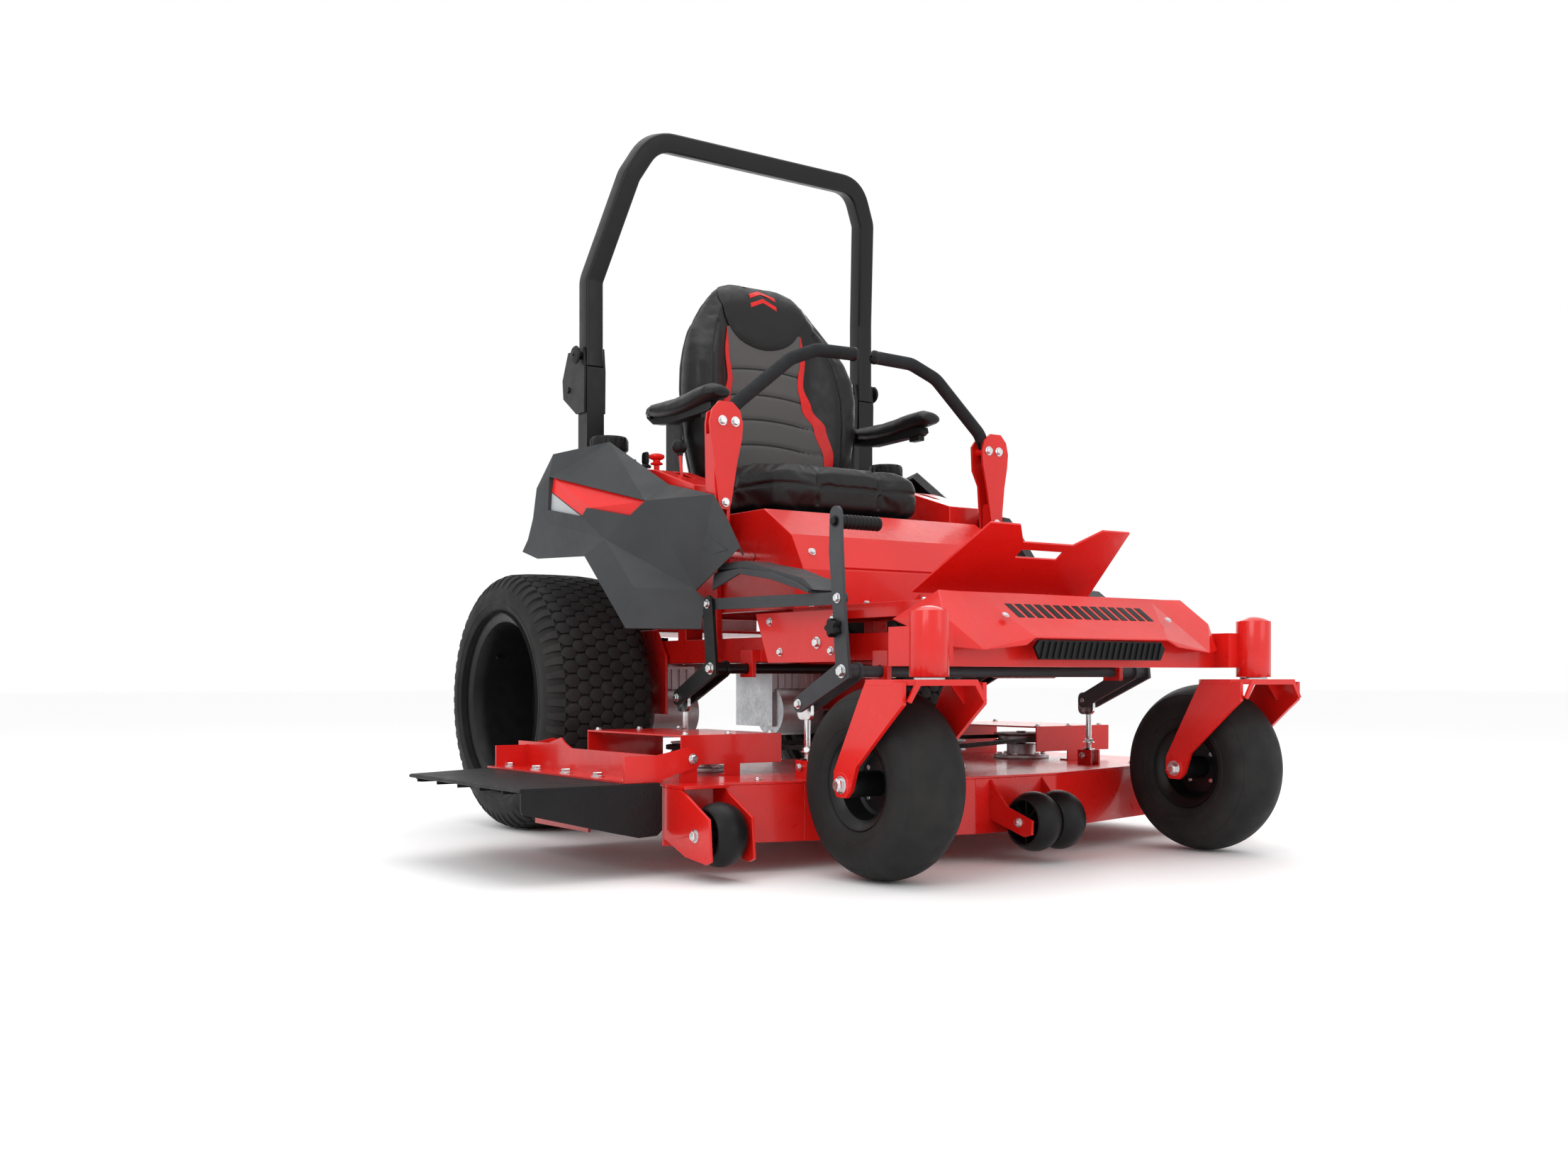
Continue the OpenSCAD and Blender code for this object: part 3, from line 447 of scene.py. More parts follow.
def sharpen(me, angle):
    """Smooth faces, with every edge over the angle kept sharp."""
    bm = bmesh.new()
    bm.from_mesh(me)
    bmesh.ops.recalc_face_normals(bm, faces=bm.faces)
    limit = math.radians(angle)
    for face in bm.faces:
        face.smooth = True
    for edge in bm.edges:
        edge.smooth = len(edge.link_faces) == 2 and edge.calc_face_angle(0) < limit
    bm.to_mesh(me)
    bm.free()


def bevel(ob, width, segments=2, angle=30):
    mod = ob.modifiers.new("edges", "BEVEL")
    mod.width = width / 1000
    mod.segments = segments
    mod.limit_method = "ANGLE"
    mod.angle_limit = math.radians(angle)
    mod.harden_normals = True
    mod.use_clamp_overlap = True
    return mod


def make(name, shape, body, mats, nodes=(), edge=0.0, angle=35, subdiv=0):
    """Turns a shape into a piece that rides on a body."""
    me = bpy.data.meshes.new(name)
    me.from_pydata([at(*p) for p in shape.v], [], shape.f)
    for mat in mats if isinstance(mats, (list, tuple)) else [mats]:
        me.materials.append(mat)
    me.polygons.foreach_set("material_index", shape.m)
    me.validate()
    sharpen(me, angle)
    ob = bpy.data.objects.new(name, me)
    scene.collection.objects.link(ob)
    if subdiv:
        mod = ob.modifiers.new("smooth", "SUBSURF")
        mod.levels = mod.render_levels = subdiv
    if edge:
        bevel(ob, edge, angle=angle)
    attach(ob, body)
    if nodes:
        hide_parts(*nodes)
    return ob


def dress(node, mat, edge=1.0):
    """A CAD node that stays: a procedural finish, and edges broken by a modifier."""
    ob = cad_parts[node]
    ob.data.materials.clear()
    ob.data.materials.append(mat)
    if edge:
        weld = ob.modifiers.new("weld", "WELD")
        weld.merge_threshold = 0.00002
        bevel(ob, edge)


# ---- wheels ----


def crown(t, high=334.0):
    """Radius of a rear tyre's tread surface at a distance from its middle."""
    t = abs(t)
    table = [(0, high), (70, high - 1.2), (112, high - 5), (128, high - 11), (140, high - 24),
            (148, high - 44)]
    for (a, ra), (b, rb) in zip(table, table[1:]):
        if t <= b:
            return ra + (rb - ra) * (t - a) / (b - a)
    return table[-1][1]


def tyre_point(centre, q, r, t):
    return Vector((centre[0] + t, centre[1] + r * math.cos(q), centre[2] + r * math.sin(q)))


def tread_block(shape, centre, q, t, length, width, high, low, m=1):
    """A hexagonal tread block at an angle round the tyre, with sloping flanks."""
    corners = [(-0.5, -0.22), (-0.2, -0.5), (0.2, -0.5), (0.5, -0.22), (0.5, 0.22), (0.2, 0.5), (-0.2, 0.5),
            (-0.5, 0.22)]
    rings = []
    for depth, grow in ((low, 1.12), (high - 1.2, 1.02), (high, 0.9)):
        ring = []
        for a, b in corners:
            side = t + b * width * grow
            ring.append(tyre_point(centre, q + a * length * grow / 334, crown(side) - 334 + depth, side))
        rings.append(ring)
    shape.rings(rings, m)


def shoulder_lug(shape, centre, q, s, length, m=1):
    """A lug that runs from the tread's edge over the shoulder."""
    rings = []
    for t, r in ((112, 327), (124, 322.5), (134, 314), (141, 304), (145.5, 292)):
        grow = 1.0 - (t - 112) / 33 * 0.25
        half = length * grow / 2 / 334
        lower = tyre_point(centre, q - half * 1.2, r - 7, s * (t - 3)), tyre_point(centre, q + half * 1.2,
                r - 7, s * (t - 3))
        upper = tyre_point(centre, q + half, r, s * t), tyre_point(centre, q - half, r, s * t)
        rings.append([*lower, *upper])
    shape.rings(rings, m)


def rear_tyre(side):
    """Turf tyre: smooth carcass, seven staggered rows of blocks, and shoulder lugs."""
    centre = (528, 488, 334)
    shape = Shape()
    outer = [(206, -122), (231, -131), (233, -143), (248, -149), (268, -150.5), (285, -147.5), (302, -139),
             (314, -127), (321, -110), (325.5, -70), (326.5, 0), (325.5, 70), (321, 110), (314, 127),
             (302, 139), (285, 147.5), (268, 150.5), (248, 149), (233, 140), (231, 127), (206, 122)]
    inner = [(204, 88), (262, 100), (300, 60), (300, -60), (262, -100), (204, -60)]
    body = smooth_loop([(r, t, 0) for r, t in outer[1:-1]], 3)
    profile = [(outer[0][0], outer[0][1])] + [(p.x, p.y) for p in body[:-2]] + [outer[-1]] + inner
    shape.lathe(profile, centre, (1, 0, 0), 120)
    for s in (-1, 1):
        shape.lathe([(251, s * 149.6), (254, s * 152), (257, s * 152), (260, s * 150)], centre, (1, 0, 0),
                120)
    count = 58
    for row in range(-3, 4):
        for k in range(count):
            q = 2 * math.pi * (k + 0.5 * (row % 2)) / count
            tread_block(shape, centre, q, row * 31.0, 31.0, 35.0, 334.0, 323.0)
    for s in (-1, 1):
        for k in range(count):
            q = 2 * math.pi * (k + 0.0) / count
            shoulder_lug(shape, centre, q, s, 21.0)
    shape = shape if side == "left" else shape.mirror()
    name = "rear_tyre_" + side
    return make("turf_tyre_" + side, shape, "rear_wheel_" + side, [RUBBER, TREAD], [name], 0,
            32)


def rear_rim(side):
    """Dished pressed rim with rolled flanges, hub, bolts and a valve."""
    centre = (528, 488, 334)
    shape = Shape()
    profile = [(24, -70), (62, -70), (70, -64), (150, -58), (186, -54), (198, -62), (203, -80), (206, -112),
               (212, -126), (222, -132), (230, -131), (231, -138), (221, -139), (209, -133), (200, -118),
               (196, -90), (190, -44), (186, -40), (160, -44), (120, -40), (78, -46), (66, -52), (24, -52)]
    shape.lathe(profile, centre, (1, 0, 0), 96)
    barrel = [(190, -46), (203, -60), (203, 88), (208, 112), (214, 122), (230, 128), (231, 134), (219, 133),
              (207, 126), (200, 108), (196, 90), (194, 20), (192, 14), (192, -30)]
    shape.lathe(barrel, centre, (1, 0, 0), 96)
    shape.lathe([(24, -52), (58, -52), (58, -46), (40, -42), (36, -24), (20, -22), (16, -28), (24, -30)],
            centre, (1, 0, 0), 48)
    for k in range(5):
        q = math.radians(72 * k)
        where = (centre[0] - 46, centre[1] + 45 * math.cos(q), centre[2] + 45 * math.sin(q))
        shape.bolt(where, (1, 0, 0), 10, 1)
        shape.bolt((where[0] - 26, where[1], where[2]), (-1, 0, 0), 9, 1)
    shape.rod((250, 488, 334), (458, 488, 334), 19.9, 32, 1)
    shape.bolt((centre[0] - 24, 488, 334), (1, 0, 0), 15, 1)
    shape.rod((centre[0] + 60, 488 + 150, 334 + 118), (centre[0] + 84, 488 + 146, 334 + 115), 4, 12, 2)
    shape = shape if side == "left" else shape.mirror()
    return make("dished_rim_" + side, shape, "rear_wheel_" + side, [BLACK, ZINC, PLASTIC],
                ["rear_rim_" + side], 0.6, 32)


def caster_tyre(side):
    """Smooth caster tyre with a rounded crown and faint moulding rings."""
    centre = (469.5, -863, 190.5)
    points = [(79, -46), (90, -57), (93, -66), (104, -72.5), (122, -76.5), (141, -77), (157, -71), (170, -60),
              (180, -44), (187, -24), (189.6, 0), (187, 24), (180, 44), (170, 60), (157, 71), (141, 77),
              (122, 76.5),
              (104, 72.5), (93, 66), (90, 57), (79, 46), (76, 0)]
    loop = smooth_loop([(r, t, 0) for r, t in points], 3)
    shape = Shape().lathe([(p.x, p.y) for p in loop], centre, (1, 0, 0), 120)
    for s in (-1, 1):
        for r, t in ((112, 74.2), (165, 64.6)):
            ring = [(r - 2.2, s * (t + 0.3)), (r - 0.7, s * (t + 1.5)), (r + 0.7, s * (t + 1.2)),
                    (r + 2.2, s * (t - 1.3)), (r, s * (t - 4))]
            shape.lathe(ring, centre, (1, 0, 0), 120)
    shape = shape if side == "left" else shape.mirror()
    return make("smooth_tyre_" + side, shape, "caster_wheel_" + side, RUBBER,
            ["caster_tyre_" + side], 0, 50)


def caster_rim(side):
    """Black pressed caster rim in two halves, with its hub and rim bolts."""
    centre = (469.5, -863, 190.5)
    shape = Shape()
    for s in (-1, 1):
        profile = [(22, s * 8), (60, s * 6), (68, s * 10), (73, s * 30), (75, s * 46), (82, s * 54),
                (90, s * 61),
                   (90, s * 64), (80, s * 60), (70, s * 50), (67, s * 34), (62, s * 16), (56, s * 11),
                   (22, s * 13)]
        shape.lathe(profile, centre, (1, 0, 0), 72)
        hub = [(10.3, s * 2), (25, s * 2), (25, s * 84), (22, s * 90), (14, s * 90), (10.3, s * 86)]
        shape.lathe(hub, centre, (1, 0, 0), 40)
        shape.lathe([(12, s * 89), (19, s * 89), (19, s * 92), (12, s * 92)], centre, (1, 0, 0), 32, 1)
        for k in range(4):
            q = math.radians(90 * k + 45)
            shape.bolt((centre[0] + s * 10, centre[1] + 42 * math.cos(q), centre[2] + 42 * math.sin(q)),
                    (s, 0, 0), 6, 1)
    shape.lathe([(60, -7), (76, -4), (76, 4), (60, 7)], centre, (1, 0, 0), 72)
    shape = shape if side == "left" else shape.mirror()
    return make("split_rim_" + side, shape, "caster_wheel_" + side, [BLACK, ZINC],
            ["caster_rim_" + side], 0.4, 32)


def caster_fork(side):
    """Welded fork: a folded crown, two shaped legs with a bent flange, stem and axle bolt."""
    x, y = 469.5, -1000
    shape = Shape()
    top, under = 391.4, 380.5
    crown_plate = [(x - 72, y - 52), (x + 72, y - 52), (x + 103, y - 20), (x + 103, y + 62), (x + 92, y + 76),
                   (x - 92, y + 76), (x - 103, y + 62), (x - 103, y - 20)]
    shape.prism(crown_plate, "z", under, top)
    leg = [(y - 46, 386), (y + 64, 386), (y + 84, 352), (y + 161, 216), (y + 163, 184), (y + 152, 167),
           (y + 124, 166), (y + 109, 180), (y + 92, 226), (y - 18, 322), (y - 46, 345)]
    for s in (-1, 1):
        a, b = sorted((x + s * 93, x + s * 102.5))
        shape.prism(leg, "x", a, b)
        shape.rod((x + s * 92, y + 137, 190.5), (x + s * 104, y + 137, 190.5), 24, 32)
        gusset = [(x + s * 60, 380), (x + s * 93, 380), (x + s * 93, 344)]
        shape.prism(gusset, "y", y + 6, y + 12)
        shape.bolt((x + s * 103, y + 137, 190.5), (s, 0, 0), 14.5, 1)
        shape.rod((x + s * 112, y + 137, 190.5), (x + s * 117, y + 137, 190.5), 9.5, 20, 1)
    lip = [(x - 72, top), (x + 72, top), (x + 96, 352), (x + 88, 348), (x + 66, 380), (x - 66, 380),
            (x - 88, 348), (x - 96, 352)]
    shape.prism(lip, "y", y - 55, y - 49)
    shape.rod((x - 102, y + 137, 190.5), (x + 102, y + 137, 190.5), 9.9, 24, 1)
    shape.rod((x, y, 388), (x, y, 505), 15.9, 32)
    shape.rod((x, y, 390), (x, y, 396), 30, 40, 1)
    shape = shape if side == "left" else shape.mirror()
    return make("welded_fork_" + side, shape, "caster_" + side, [RED, ZINC],
            ["caster_fork_" + side], 1.6, 30)


# ---- roll bar and levers ----


def roll_hoop():
    """Square tube bent in one piece, with hinge ears, bushes and end rubber."""
    half = [(448, 400, 1213), (448, 400, 1440), (385, 309, 1706), (330, 284, 1803), (0, 284, 1803)]
    path = round_corners(half, [55, 60, 150], 8)
    right = [Vector((-p.x, p.y, p.z)) for p in path[:-1]]
    path = path + right[::-1]
    shape = Shape().sweep(path, round_rect(50, 50, 8), 0, first=(1, 0, 0))
    ears = Shape()
    for x in (423, 467):
        ears.prism([(424, 1216), (424, 1258), (486, 1258), (490, 1205), (490, 1152), (478, 1141),
                (462, 1141), (450, 1152), (450, 1214)],
                   "x", x, x + 6)
    ears.box((424, 470, 1216), (472, 476, 1256))
    ears.rod((430, 470, 1160), (466, 470, 1160), 18, 28)
    for s in (-1, 1):
        ears.rod((448 + s * 25, 400, 1240), (448 + s * 30, 400, 1240), 15, 28)
    return make("roll_hoop", shape.join(ears.both()), "hoop", BLACK, ["rops_hoop"], 0.8, 35)


def hoop_pins():
    """Lock pins with a T-shaped knob and a hairpin clip."""
    shape = Shape()
    shape.rod((410, 400, 1240), (486, 400, 1240), 6, 20, 0)
    shape.rod((479, 400, 1240), (491, 400, 1240), 10, 24, 1)
    shape.lathe([(4, 0), (22, 2), (25, 6), (22, 10), (4, 12)], (488, 400, 1240), (1, 0, 0), 40, 1)
    clip = [(414, 396, 1262), (414, 400, 1228), (414, 404, 1216), (414, 410, 1222), (414, 406, 1240),
            (414, 412, 1256)]
    shape.sweep(round_corners(clip, 6, 3), circle(1.3, 8), 0)
    return make("hoop_lock_pins", shape.both(), "hoop", [ZINC, PLASTIC], ["rops_lock_pins"],
            0.3, 35)


def grip_path():
    points = [(410, -194.5, 962), (384, -196, 1032), (226, -203, 1160), (148, -199, 1190), (34, -195, 1194)]
    return round_corners(points, [60, 90, 70], 7)


def lap_bar(side):
    """Lever bracket of two shaped plates, and a bent tube in a foam sleeve."""
    shape = Shape()
    front = [(411, 784), (434, 784), (441, 802), (451, 895), (461, 950), (464, 984), (457, 1014), (438, 1034),
             (402, 1034), (381, 1016), (373, 986), (376, 950), (389, 895), (405, 802)]
    rear = [(404, 782), (441, 782), (447, 800), (450, 985), (446, 1012), (430, 1022), (385, 1018),
            (373, 1002), (376, 940), (396, 900)]
    shape.prism(front, "y", -218, -211.5)
    shape.prism(rear, "y", -177.5, -171)
    shape.prism([(441, 800), (448, 800), (451, 960), (444, 960)], "y", -213, -176)
    for x in (395, 430):
        shape.rod((x, -213, 989), (x, -176, 989), 11, 24)
        shape.bolt((x, -218, 989), (0, -1, 0), 10, 1)
        shape.bolt((x, -171, 989), (0, 1, 0), 9, 1)
    shape.bolt((422.5, -219, 800), (0, -1, 0), 9, 1)
    path = grip_path()
    shape.sweep(path, circle(13.2, 24), 2)
    keep = [p for p in path if p.z > 1010]
    shape.sweep(keep, circle(16.2, 32), 3)
    shape.lathe([(3, 0), (16.8, 0), (17.6, 3), (17.2, 9), (10, 14), (3, 15)], (38, -195, 1194), (-1, 0, 0),
            32, 2)
    shape = shape if side == "left" else shape.mirror()
    return make("lap_lever_" + side, shape, "lap_" + side, [RED, ZINC, BLACK, FOAM],
            ["lap_bar_" + side], 0.8, 35)


def control_arm(side):
    """Lower lever: a folded channel with height holes painted as black discs of shade, boss and swing bolt.
    """
    shape = Shape()
    shape.prism([(-208, 684), (-181, 684), (-181, 846), (-186, 852), (-203, 852), (-208, 846)], "x", 407, 412)
    shape.prism([(-208, 664), (-181, 664), (-181, 846), (-186, 852), (-203, 852), (-208, 846)], "x", 433, 438)
    shape.prism([(408, 700), (437, 700), (437, 848), (408, 848)], "y", -186, -181)
    shape.rod((405, -194.5, 680), (439, -194.5, 680), 21, 32)
    # The height holes are not cut: each is a black disc on the flange, painted shade where the hole shows the
    # dark inside the channel.
    for z in (722, 745, 768):
        shape.rod((437, -194.5, z), (438.8, -194.5, z), 5.5, 20, 2)
    shape.rod((422.5, -221, 800), (422.5, -165, 800), 6, 20, 1)
    shape.bolt((422.5, -166, 800), (0, 1, 0), 8, 1)
    shape.bolt((439, -194.5, 680), (1, 0, 0), 11, 1)
    shape = shape if side == "left" else shape.mirror()
    return make("control_lever_" + side, shape, "lever_" + side, [RED, ZINC, BLACK],
            ["control_arm_" + side], 0.7, 35)


# ---- seat ----


def loft(sections):
    """A closed body through rings that share their number of points."""
    return Shape().rings(sections)


CUSHION = [(-212, -142), (-110, -150), (0, -151), (110, -150), (212, -142), (243, -108), (249, -30),
        (247, 60),
           (240, 150), (216, 202), (120, 212), (0, 214), (-120, 212), (-216, 202), (-240, 150), (-247, 60),
           (-249, -30), (-243, -108)]


def cushion_ring(z, grow, lift=0.0):
    """Outline of the seat cushion at one height: raised sides and a rolled front."""
    ring = []
    for p in smooth_loop([(x, y, 0) for x, y in CUSHION], 3):
        x, y = p.x * grow, 30 + (p.y - 30) * grow
        side = max(0.0, (abs(x) - 120) / 125) ** 2 * 26 * min(1.0, max(0.15, (y + 130) / 120))
        front = max(0.0, (-y - 50) / 100) ** 2 * 8
        ring.append((x, y, z + lift * (side + front - 6)))
    return ring


def cushion_shape():
    rows = [(812, 0.84, 0), (813, 0.95, 0), (822, 0.985, 0), (850, 1.0, 0), (884, 0.995, 0.4),
            (905, 0.965, 0.8),
            (915, 0.90, 1), (917, 0.78, 1), (916, 0.6, 1), (914, 0.3, 1)]
    return loft([cushion_ring(*row) for row in rows])


BACK_ROWS = [
    # height, half width, front y of the panel, how far the bolsters stand forward, depth behind the front
    (905, 206, 250, 34, 70), (925, 240, 246, 62, 86), (1000, 252, 248, 84, 94), (1080, 259, 252, 92, 96),
    (1160, 261, 256, 95, 96),
    (1220, 257, 260, 88, 92), (1270, 247, 262, 70, 90), (1320, 231, 264, 44, 88), (1365, 206, 268, 24, 86),
    (1405, 178, 274, 12, 80), (1440, 152, 282, 6, 72), (1462, 124, 292, 2, 62), (1478, 84, 306, 0, 44),
]
SECTION = [(0, 0), (0.3, -1), (0.5, -6), (0.62, -30), (0.73, -68), (0.86, -96), (0.965, -86), (1.0, -45),
        (0.97, 4),
           (0.88, 40), (0.7, 66), (0.4, 80), (0, 84)]


def back_ring(z, half, front, forward, depth):
    """Outline of the backrest at one height, with side bolsters that stand forward."""
    outline = [(-x, y) for x, y in SECTION[::-1]] + SECTION[1:-1]
    ring = []
    for p in smooth_loop([(x, y / 100, 0) for x, y in outline], 3):
        reach = forward / 0.96 if p.y < 0 else depth / 0.84
        ring.append((p.x * half, front + p.y * reach, z))
    return ring


def back_shape():
    return loft([back_ring(*row) for row in BACK_ROWS])


def stuffed(name, shape, cap, pressure=4.0, voxel=0.006):
    """Remeshes a closed shape and blows it up as cloth, with a cap on how far it moves."""
    me = bpy.data.meshes.new(name)
    me.from_pydata([at(*p) for p in shape.v], [], shape.f)
    ob = bpy.data.objects.new(name, me)
    scene.collection.objects.link(ob)
    sharpen(me, 180)
    remesh = ob.modifiers.new("even", "REMESH")
    remesh.mode = "VOXEL"
    remesh.voxel_size = voxel
    remesh.use_smooth_shade = True
    apply_all(ob)
    start = points_of(ob.data)
    inflate(ob, pressure)
    moved = points_of(ob.data) - start
    length = np.linalg.norm(moved, axis=1, keepdims=True)
    moved *= np.minimum(1.0, cap / 1000 / np.maximum(length, 1e-9))
    put_points(ob.data, start + moved)
    return ob


def points_of(me):
    co = np.zeros(len(me.vertices) * 3)
    me.vertices.foreach_get("co", co)
    return co.reshape(-1, 3)


def put_points(me, co):
    me.vertices.foreach_set("co", co.ravel())
    me.update()


def normals_of(me):
    out = np.zeros(len(me.vertices) * 3)
    me.vertex_normals.foreach_get("vector", out)
    return out.reshape(-1, 3)


def apply_all(ob):
    """Bakes an object's modifiers into its mesh."""
    graph = bpy.context.evaluated_depsgraph_get()
    done = bpy.data.meshes.new_from_object(ob.evaluated_get(graph))
    ob.modifiers.clear()
    ob.data = done


def inflate(ob, pressure):
    cloth = ob.modifiers.new("cloth", "CLOTH")
    cloth.settings.use_pressure = True
    cloth.settings.uniform_pressure_force = pressure
    cloth.settings.effector_weights.gravity = 0
    cloth.settings.quality = 4
    cloth.settings.tension_stiffness = 25
    cloth.settings.compression_stiffness = 25
    cloth.settings.bending_stiffness = 1.5
    cloth.collision_settings.use_collision = False
    cloth.point_cache.frame_start = 1
    cloth.point_cache.frame_end = 20
    for number in range(1, 21):
        scene.frame_set(number)
    apply_all(ob)
    scene.frame_set(1)


def groove(ob, paths, width, depth):
    """Presses sewn channels into a soft piece along lines of points."""
    co, out = points_of(ob.data), normals_of(ob.data)
    sink = np.zeros(len(co))
    for path in paths:
        line = np.array([at(*p) for p in path])
        best = np.full(len(co), 1e9)
        for a, b in zip(line, line[1:]):
            d = b - a
            t = np.clip(((co - a) @ d) / (d @ d), 0, 1)
            best = np.minimum(best, np.linalg.norm(co - (a + t[:, None] * d), axis=1))
        sink = np.maximum(sink, np.exp(-((best / (width / 1000)) ** 2)))
    put_points(ob.data, co - out * (sink * depth / 1000)[:, None])


def soften(ob, times, factor=0.5):
    bm = bmesh.new()
    bm.from_mesh(ob.data)
    for _ in range(times):
        bmesh.ops.smooth_vert(bm, verts=bm.verts, factor=factor, use_axis_x=True, use_axis_y=True,
                use_axis_z=True)
    bm.to_mesh(ob.data)
    bm.free()


def on_surface(ob, path, step=8):
    """A line of points laid on the surface of a soft piece."""
    tree = caster_of(ob)
    laid = []
    for a, b in zip(path, path[1:]):
        a, b = Vector(a), Vector(b)
        count = max(1, round((b - a).length / step))
        laid += [a + (b - a) * k / count for k in range(count)]
    found = [tree.find_nearest(at(*p))[0] * 1000 for p in laid + [Vector(path[-1])]]
    return [(p.x - CENTRE, p.y, p.z) for p in found]


def caster_of(ob):
    return BVHTree.FromPolygons([v.co for v in ob.data.vertices], [p.vertices for p in ob.data.polygons])


def cover(name, tree, columns, lift, mats, thick=2.5, direction=(0, 1, 0), away=0.4):
    """A sewn cover laid on a soft piece: rows of points dropped on to it along a direction."""
    d = Vector(direction)
    verts, faces = [], []
    n = len(columns[0])
    for row in columns:
        for p in row:
            start = at(*p) - d * away
            hit, normal, _, _ = tree.ray_cast(start, d)
            if hit is None:
                hit, normal, _, _ = tree.find_nearest(at(*p))
            verts.append(hit - d * lift / 1000)
    for i in range(len(columns) - 1):
        for k in range(n - 1):
            a = i * n + k
            faces.append([a, a + 1, a + n + 1, a + n])
    me = bpy.data.meshes.new(name)
    me.from_pydata(verts, [], faces)
    for mat in mats:
        me.materials.append(mat)
    bm = bmesh.new()
    bm.from_mesh(me)
    bmesh.ops.recalc_face_normals(bm, faces=bm.faces)
    if sum((f.normal for f in bm.faces), Vector()).dot(d) > 0:
        bmesh.ops.reverse_faces(bm, faces=bm.faces)
    for face in bm.faces:
        face.smooth = True
    bm.to_mesh(me)
    bm.free()
    ob = bpy.data.objects.new(name, me)
    scene.collection.objects.link(ob)
    solid = ob.modifiers.new("cloth_edge", "SOLIDIFY")
    solid.thickness = thick / 1000
    solid.offset = 0.0
    bevel(ob, 0.9, 2, 50)
    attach(ob, "seat")
    return ob


def rows_between(edges, count):
    """Rows of points from the left edge to the right edge at each height."""
    made = []
    for left, right in edges:
        a, b = Vector(left), Vector(right)
        made.append([a + (b - a) * k / count for k in range(count + 1)])
    return made


def edge_curve(table, z):
    """The half width of a seat panel at a height, from a short table."""
    for (z0, w0), (z1, w1) in zip(table, table[1:]):
        if z <= z1:
            t = (z - z0) / (z1 - z0)
            t = t * t * (3 - 2 * t)
            return w0 + (w1 - w0) * t
    return table[-1][1]


PANEL = [(925, 166), (1000, 162), (1080, 146), (1140, 116), (1200, 106), (1270, 116), (1340, 119)]
STRIPES = [(925, 184), (1000, 183), (1080, 170), (1140, 143), (1200, 124), (1270, 131), (1340, 121)]


def seat():
    cushion = stuffed("seat_cushion_pad", cushion_shape(), 14)
    soften(cushion, 2)
    seams = [
        [(-252, 150, 862), (-254, 0, 866), (-248, -118, 870), (-120, -156, 872), (120, -156, 872),
        (248, -118, 870),
         (254, 0, 866), (252, 150, 862)],
        [(-96, -156, 818), (-96, -158, 900), (-100, -120, 930), (-108, -40, 930), (-120, 215, 925)],
        [(96, -156, 818), (96, -158, 900), (100, -120, 930), (108, -40, 930), (120, 215, 925)],
        [(-108, -50, 925), (0, -54, 925), (108, -50, 925)],
        [(-112, 40, 925), (0, 36, 925), (112, 40, 925)],
    ]
    finish_pad(cushion, seams, 5.0, 5.0, ["seat_cushion"])
    back = stuffed("seat_back_pad", back_shape(), 12)
    soften(back, 2)
    seams = [
        [(s * 206, 168, 930), (s * 208, 160, 1050), (s * 204, 160, 1160), (s * 188, 180, 1260),
        (s * 150, 225, 1345)]
        for s in (-1, 1)
    ]
    seams += [
        [(s * 246, 255, 930), (s * 262, 258, 1050), (s * 264, 262, 1200), (s * 238, 270, 1320),
        (s * 186, 290, 1405),
         (s * 130, 320, 1462), (0, 335, 1490)]
        for s in (-1, 1)
    ]
    finish_pad(back, seams, 5.0, 6.0, ["seat_back"])
    tree = caster_of(back)
    panel_rows = []
    for k in range(137):
        z = 928 + (1338 - 928) * k / 136
        half = edge_curve(PANEL, z)
        panel_rows.append(((-half, 300, z), (half, 300, z)))
    front = cover("back_panel", tree, rows_between(panel_rows, 24), 1.5, [CLOTH])
    press_rows(front, (1010, 1078, 1146, 1216))
    for s in (-1, 1):
        rows = []
        for k in range(49):
            z = 932 + (1336 - 932) * k / 48
            inner, outer = edge_curve(PANEL, z) + 0.6, edge_curve(STRIPES, z)
            rows.append(((s * inner, 300, z), (s * outer, 300, z)))
        cover("back_stripe_" + ("left" if s > 0 else "right"), tree, rows_between(rows, 4), 1.8, [RED_VINYL])
    head_pad(tree)


def finish_pad(ob, seams, width, depth, nodes):
    sub = ob.modifiers.new("smooth", "SUBSURF")
    sub.levels = sub.render_levels = 1
    apply_all(ob)
    groove(ob, [on_surface(ob, line) for line in seams], width, depth)
    ob.data.materials.clear()
    ob.data.materials.append(VINYL)
    ob.data.shade_smooth()
    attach(ob, "seat")
    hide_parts(*nodes)


def press_rows(ob, heights):
    """Sewn lines that curve up across the panel."""
    co = points_of(ob.data)
    x = (co[:, 0] * 1000 - CENTRE) / 150
    for z in heights:
        line = (z + 16 * (1 - x**2)) / 1000
        co[:, 1] += 0.0035 * np.exp(-(((co[:, 2] - line) / 0.006) ** 2))
    put_points(ob.data, co)


